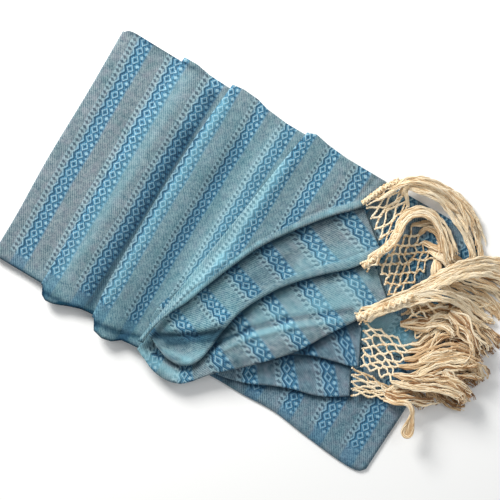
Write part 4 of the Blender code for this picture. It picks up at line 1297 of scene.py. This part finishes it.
def fringe(name, node, root, far, cells, rows, bundles, shade=0.3, tan_and_shade=0.0, fill=1.0):
    """A net and its bundles: (line of u, v; widths; knot shares)."""
    yarns = Yarns(name, node)
    places = net(yarns, root, far, cells, rows)
    free = list(range(rows % 2, 2 * cells + 1, 2))
    for line, width, shares in bundles:
        for share, (path, wide) in zip(shares, side_by_side(line, width, len(shares))):
            i = min(free, key=lambda k: abs(k / (2 * cells) - share))
            free.remove(i)
            lock(yarns, path, wide, start=places[i, rows], shade=shade, tan_and_shade=tan_and_shade, fill=fill)
    return yarns


print("eight fringes follow, lowest first")

# %% [markdown]
# ### The eight fringes
#
# Lowest first: the other end's fringe peeps out on the right, then the pleats' own fringes,
# and last the two thick bundles that spring from the pleats' folded corners.

# %% Lower fringes
far_yarns = fringe(
    "fringe_of_far_end", "fringe_far",
    root=[(553.5, 163), (555.5, 192)], far=[(570, 152), (573, 212)], cells=5, rows=2,
    bundles=[
        ([(588, 160), (610, 148), (630, 144), (650, 151)], [22, 26, 24], (0.0, 0.2)),
        ([(590, 188), (612, 186), (634, 180), (650, 172)], [24, 28, 26], (0.4, 0.6)),
        ([(584, 218), (602, 234), (626, 238), (652, 230)], [24, 30, 26], (0.8, 1.0)),
    ], shade=0.75, tan_and_shade=0.45,
)
curls(far_yarns, (620, 160, 26, 20, -30), 12, shade=0.8, tan_and_shade=0.4)
curls(far_yarns, (622, 226, 24, 18, 20), 12, shade=0.8, tan_and_shade=0.4)
far_yarns.make()

fourth_yarns = fringe(
    "fringe_of_fourth_pleat", "fringe_fourth",
    root=[(490.5, 113), (508.5, 80.5)], far=[(546, 119), (547, 98)], cells=4, rows=4,
    bundles=[
        ([(558, 119), (571, 136), (586, 156), (606, 176), (626, 190), (648, 197)],
         [14, 22, 28, 28], (0.0, 0.25, 0.5)),
        ([(566, 109), (584, 118), (600, 126), (611, 140)], [12, 12], (0.75,)),
    ], shade=0.45, tan_and_shade=0.16,
)
curls(fourth_yarns, (602, 165, 34, 12, 50), 16, shade=0.4, tan_and_shade=0.15)
curls(fourth_yarns, (570, 126, 16, 10, 60), 8, shade=0.4, tan_and_shade=0.2)
# the last lock hangs over the edge as a closed loop, so its lower end is round
LOOP_LINE = [(548, 98), (562, 102), (577, 109), (587, 104), (592, 92), (596, 76)]
closed_loop(fourth_yarns, LOOP_LINE, (0.6, 1.4, 2.2, 3.0, 3.8, 4.6))
fourth_yarns.make()

third_yarns = fringe(
    "fringe_of_third_pleat", "fringe_third",
    root=[(473, 174), (499.5, 121)], far=[(545, 180), (544, 124)], cells=5, rows=6,
    bundles=[
        ([(556, 184), (564, 206), (580, 222), (604, 228), (640, 222)], [18, 24, 28], (0.0, 0.2)),
        ([(560, 162), (577, 184), (598, 202), (620, 208), (640, 202)], [20, 26, 26], (0.4, 0.6)),
        ([(560, 134), (582, 146), (606, 156), (630, 158), (648, 150)], [22, 26, 26], (0.8, 1.0)),
    ], shade=0.5, tan_and_shade=0.26,
)
curls(third_yarns, (572, 190, 26, 20, 60), 14, shade=0.5, tan_and_shade=0.2)
curls(third_yarns, (612, 200, 30, 24, 0), 12, shade=0.5, tan_and_shade=0.25)
curls(third_yarns, (596, 156, 36, 14, 15), 18, shade=0.5, tan_and_shade=0.3)
curls(third_yarns, (535, 158, 16, 18, 80), 14, shade=0.5, tan_and_shade=0.3)
lock(third_yarns, [(512, 222), (536, 232), (560, 242), (590, 248), (622, 243)], 24, shade=0.7, tan_and_shade=0.5)
lock(third_yarns, [(516, 196), (538, 208), (556, 222), (580, 236), (612, 238)], 20, shade=0.7, tan_and_shade=0.35)
# a loose piece of net that lies between the thick bundle and this fringe
net(third_yarns, [(512, 236), (527, 192)], [(553, 246), (562, 204)], cells=3, rows=4, jitter=2.2)
# locks that lie across the others: along the heap, over its right side, and hanging off its front
HEAP_LOCKS = [  # centre line, width, heights, share of shaded yarns (painted shade) and of tan yarns (partly painted shade)
    ([(564, 242), (581, 240), (600, 232), (617, 222), (632, 212)],
     24, [24, 28, 31, 31, 26], 0.45, 0.2),
    ([(562, 166), (573, 180), (586, 194), (601, 206)],
     10, [22, 27, 29, 29], 0.5, 0.2),
    ([(529, 207), (543, 215), (554, 230), (569, 237), (586, 235)],
     7, [10, 15, 20, 24, 26], 0.2, 0.0),
    ([(539, 195), (548, 206), (559, 219), (574, 223), (591, 217)],
     8, [10, 16, 22, 26, 26], 0.4, 0.1),
    ([(564, 133), (581, 126), (594, 118), (602, 109)],
     17, [21, 17, 12, 7], 0.6, 0.25),
    ([(576, 150), (594, 144), (610, 138), (621, 132)],
     24, [27, 25, 18, 9], 0.6, 0.25),
    ([(596, 172), (611, 167), (627, 161), (641, 153), (649, 146)],
     20, [30, 30, 26, 18, 9], 0.45, 0.1),
    ([(612, 200), (629, 198), (644, 193), (653, 185)],
     18, [30, 28, 21, 11], 0.45, 0.12),
    ([(548, 111), (561, 127), (571, 146), (584, 167), (600, 182), (618, 193), (630, 207)],
     17, [13, 22, 27, 29, 29, 31, 28], 0.2, 0.04),
]
for line, width, heights, shaded, tan in HEAP_LOCKS:
    lock(third_yarns, line, width, shade=shaded, tan_and_shade=tan, heights=heights)
curls(third_yarns, (528, 214, 24, 12, 35), 12, shade=0.4, tan_and_shade=0.2, held=0.0)
curls(third_yarns, (562, 230, 26, 14, 10), 14, shade=0.4, tan_and_shade=0.3, held=0.0)
third_yarns.make()

second_yarns = fringe(
    "fringe_of_second_pleat", "fringe_second",
    root=[(450, 250), (493, 212.5)], far=[(466, 318), (513, 294)], cells=4, rows=8,
    bundles=[
        ([(482, 328), (500, 328), (516, 314), (522, 292)], [14, 18, 16], (0.0, 0.25)),
        ([(526, 304), (552, 300), (580, 304), (606, 308), (634, 302)], [18, 28, 34], (0.5, 0.75)),
        ([(528, 276), (550, 274), (576, 278), (604, 280), (640, 268)], [16, 26, 30], (1.0,)),
    ], shade=0.28, tan_and_shade=0.06,
)
curls(second_yarns, (606, 278, 30, 18, 0), 16, shade=0.5, tan_and_shade=0.2)
curls(second_yarns, (494, 316, 18, 12, -20), 12, shade=0.3, tan_and_shade=0.15)
curls(second_yarns, (584, 290, 36, 16, 0), 18, shade=0.5, tan_and_shade=0.25)
curls(second_yarns, (512, 282, 12, 14, 60), 10, shade=0.3, tan_and_shade=0.15)
second_yarns.make()

# %% Upper fringes and the thick corner bundles
first_yarns = fringe(
    "fringe_of_first_pleat", "fringe_first",
    root=[(399.5, 307), (447, 270)], far=[(420, 350), (447, 338)], cells=4, rows=4,
    bundles=[
        ([(430, 360), (449, 368), (474, 373), (499, 369), (520, 360), (538, 349), (551, 337),
          (560, 325), (565, 314)],
         [15, 17, 27, 32, 28, 19, 15], (0.0, 0.3, 0.6, 1.0)),
    ], shade=0.1, fill=1.25,
)
curls(first_yarns, (500, 366, 30, 8, -15), 6, shade=0.1, tan_and_shade=0.0)
first_yarns.make()

top_yarns = fringe(
    "fringe_of_fourth_stretch", "fringe_top",
    root=[(409, 350), (397.5, 310)], far=[(417, 354), (405, 318)], cells=3, rows=1,
    bundles=[
        ([(429, 366), (450, 377), (476, 381), (502, 378), (526, 367), (547, 350)],
         [10, 11, 13, 18], (0.2, 0.8)),
    ], shade=0.08, fill=1.15,
)
plait(top_yarns, [(391, 309), (399, 327), (407, 344), (419, 360)], [6, 8, 9], pitch=15, shade=0.1)
top_yarns.make()

first_corner = fringe(
    "bundle_at_first_pleat", "fringe_first_corner",
    root=[(429.5, 239), (442.5, 234.5)], far=[(434, 252), (447, 248)], cells=2, rows=2,
    bundles=[
        ([(443, 262), (450, 278), (452, 297), (450, 317), (457, 334), (475, 342), (496, 337),
          (514, 324), (527, 311), (539, 298)], [9, 10, 13, 17, 25], (0.0, 0.5, 1.0)),
    ], shade=0.12, fill=1.35,
)
plait(first_corner, [(435, 236), (442, 254), (449, 276), (452, 297), (451, 316)], [7, 9, 9], shade=0.1)
first_corner.make()

second_corner = fringe(
    "bundle_at_second_pleat", "fringe_second_corner",
    root=[(456.5, 178), (469, 168.5)], far=[(463, 188), (476, 178.5)], cells=3, rows=2,
    bundles=[
        ([(474, 194), (489, 213), (505, 233), (521, 257), (537, 282), (556, 304), (577, 320),
          (602, 328), (628, 326)], [9, 12, 19, 31, 40], (0.0, 0.33, 0.66)),
        ([(480, 190), (494, 209), (509, 231), (528, 248), (552, 258), (576, 260), (600, 254),
          (630, 252)], [6, 9, 15, 22, 24], (1.0,)),
    ], shade=0.14, tan_and_shade=0.01, fill=1.5,
)
plait(second_corner, [(462, 173), (474, 188), (487, 204), (500, 220), (512, 236)], [10, 14, 14],
      pitch=24, shade=0.15)
curls(second_corner, (596, 318, 34, 16, 10), 14, shade=0.4, tan_and_shade=0.15)
second_corner.make()

# %% [markdown]
# ## Floor, light and camera
#
# A plain near-white floor, one large soft light high on the far left and a weaker one opposite
# keep the folds readable without hard shadows. The camera looks straight down and is turned by
# 30 degrees, so the pile runs down to the right as in the photograph.

# %% Floor
bm = bmesh.new()
bmesh.ops.create_grid(bm, x_segments=2, y_segments=2, size=3.0)
floor_mesh = bpy.data.meshes.new("floor")
bm.to_mesh(floor_mesh)
bm.free()
floor = new_object("floor", floor_mesh)
floor_mat, _, shader, _ = new_material("pale_matt_floor")
shader.inputs["Base Color"].default_value = srgb("#fbfbfa")
shader.inputs["Roughness"].default_value = 0.9
shader.inputs["Specular IOR Level"].default_value = 0.1
floor_mesh.materials.append(floor_mat)

# %% Lights
def area_light(name, place, aim, size, power, colour):
    """A soft square light aimed at a point."""
    data = bpy.data.lights.new(name, "AREA")
    data.size = size
    data.energy = power
    data.color = colour
    obj = bpy.data.objects.new(name, data)
    obj.location = place
    obj.rotation_euler = (Vector(aim) - Vector(place)).to_track_quat("-Z", "Y").to_euler()
    bpy.context.scene.collection.objects.link(obj)
    return obj


area_light("key", (-1.25, 0.55, 0.95), (0.0, 0.0, 0.0), 0.7, 37.0, (1.0, 0.99, 0.97))
area_light("fill", (0.9, 0.9, 1.6), (0.0, 0.0, 0.0), 1.0, 5.5, (0.95, 0.98, 1.0))
world = bpy.data.worlds.new("studio")
world.use_nodes = True
world.node_tree.nodes["Background"].inputs["Color"].default_value = (0.97, 0.985, 1.0, 1.0)
world.node_tree.nodes["Background"].inputs["Strength"].default_value = 0.42
bpy.context.scene.world = world
bpy.context.scene.view_settings.view_transform = "Standard"
print("lights ready")

# %% Camera
MM_PER_PIXEL = 1.34
CENTRE = (293.3, 180.0)  # u, v under the middle of the photograph
HEIGHT = 3.2
camera_data = bpy.data.cameras.new("camera")
camera_data.sensor_width = 36.0
camera_data.lens = 36.0 * HEIGHT / (500 * MM_PER_PIXEL / 1000)
camera_data.clip_end = 20.0
camera = bpy.data.objects.new("camera", camera_data)
camera.location = (
    (CENTRE[0] - PILE_MID[0]) / 1000, (CENTRE[1] - PILE_MID[1]) / 1000, HEIGHT,
)
camera.rotation_euler = (0.0, 0.0, math.radians(30.3))
bpy.context.scene.collection.objects.link(camera)
bpy.context.scene.camera = camera
print("camera lens", round(camera_data.lens, 1))
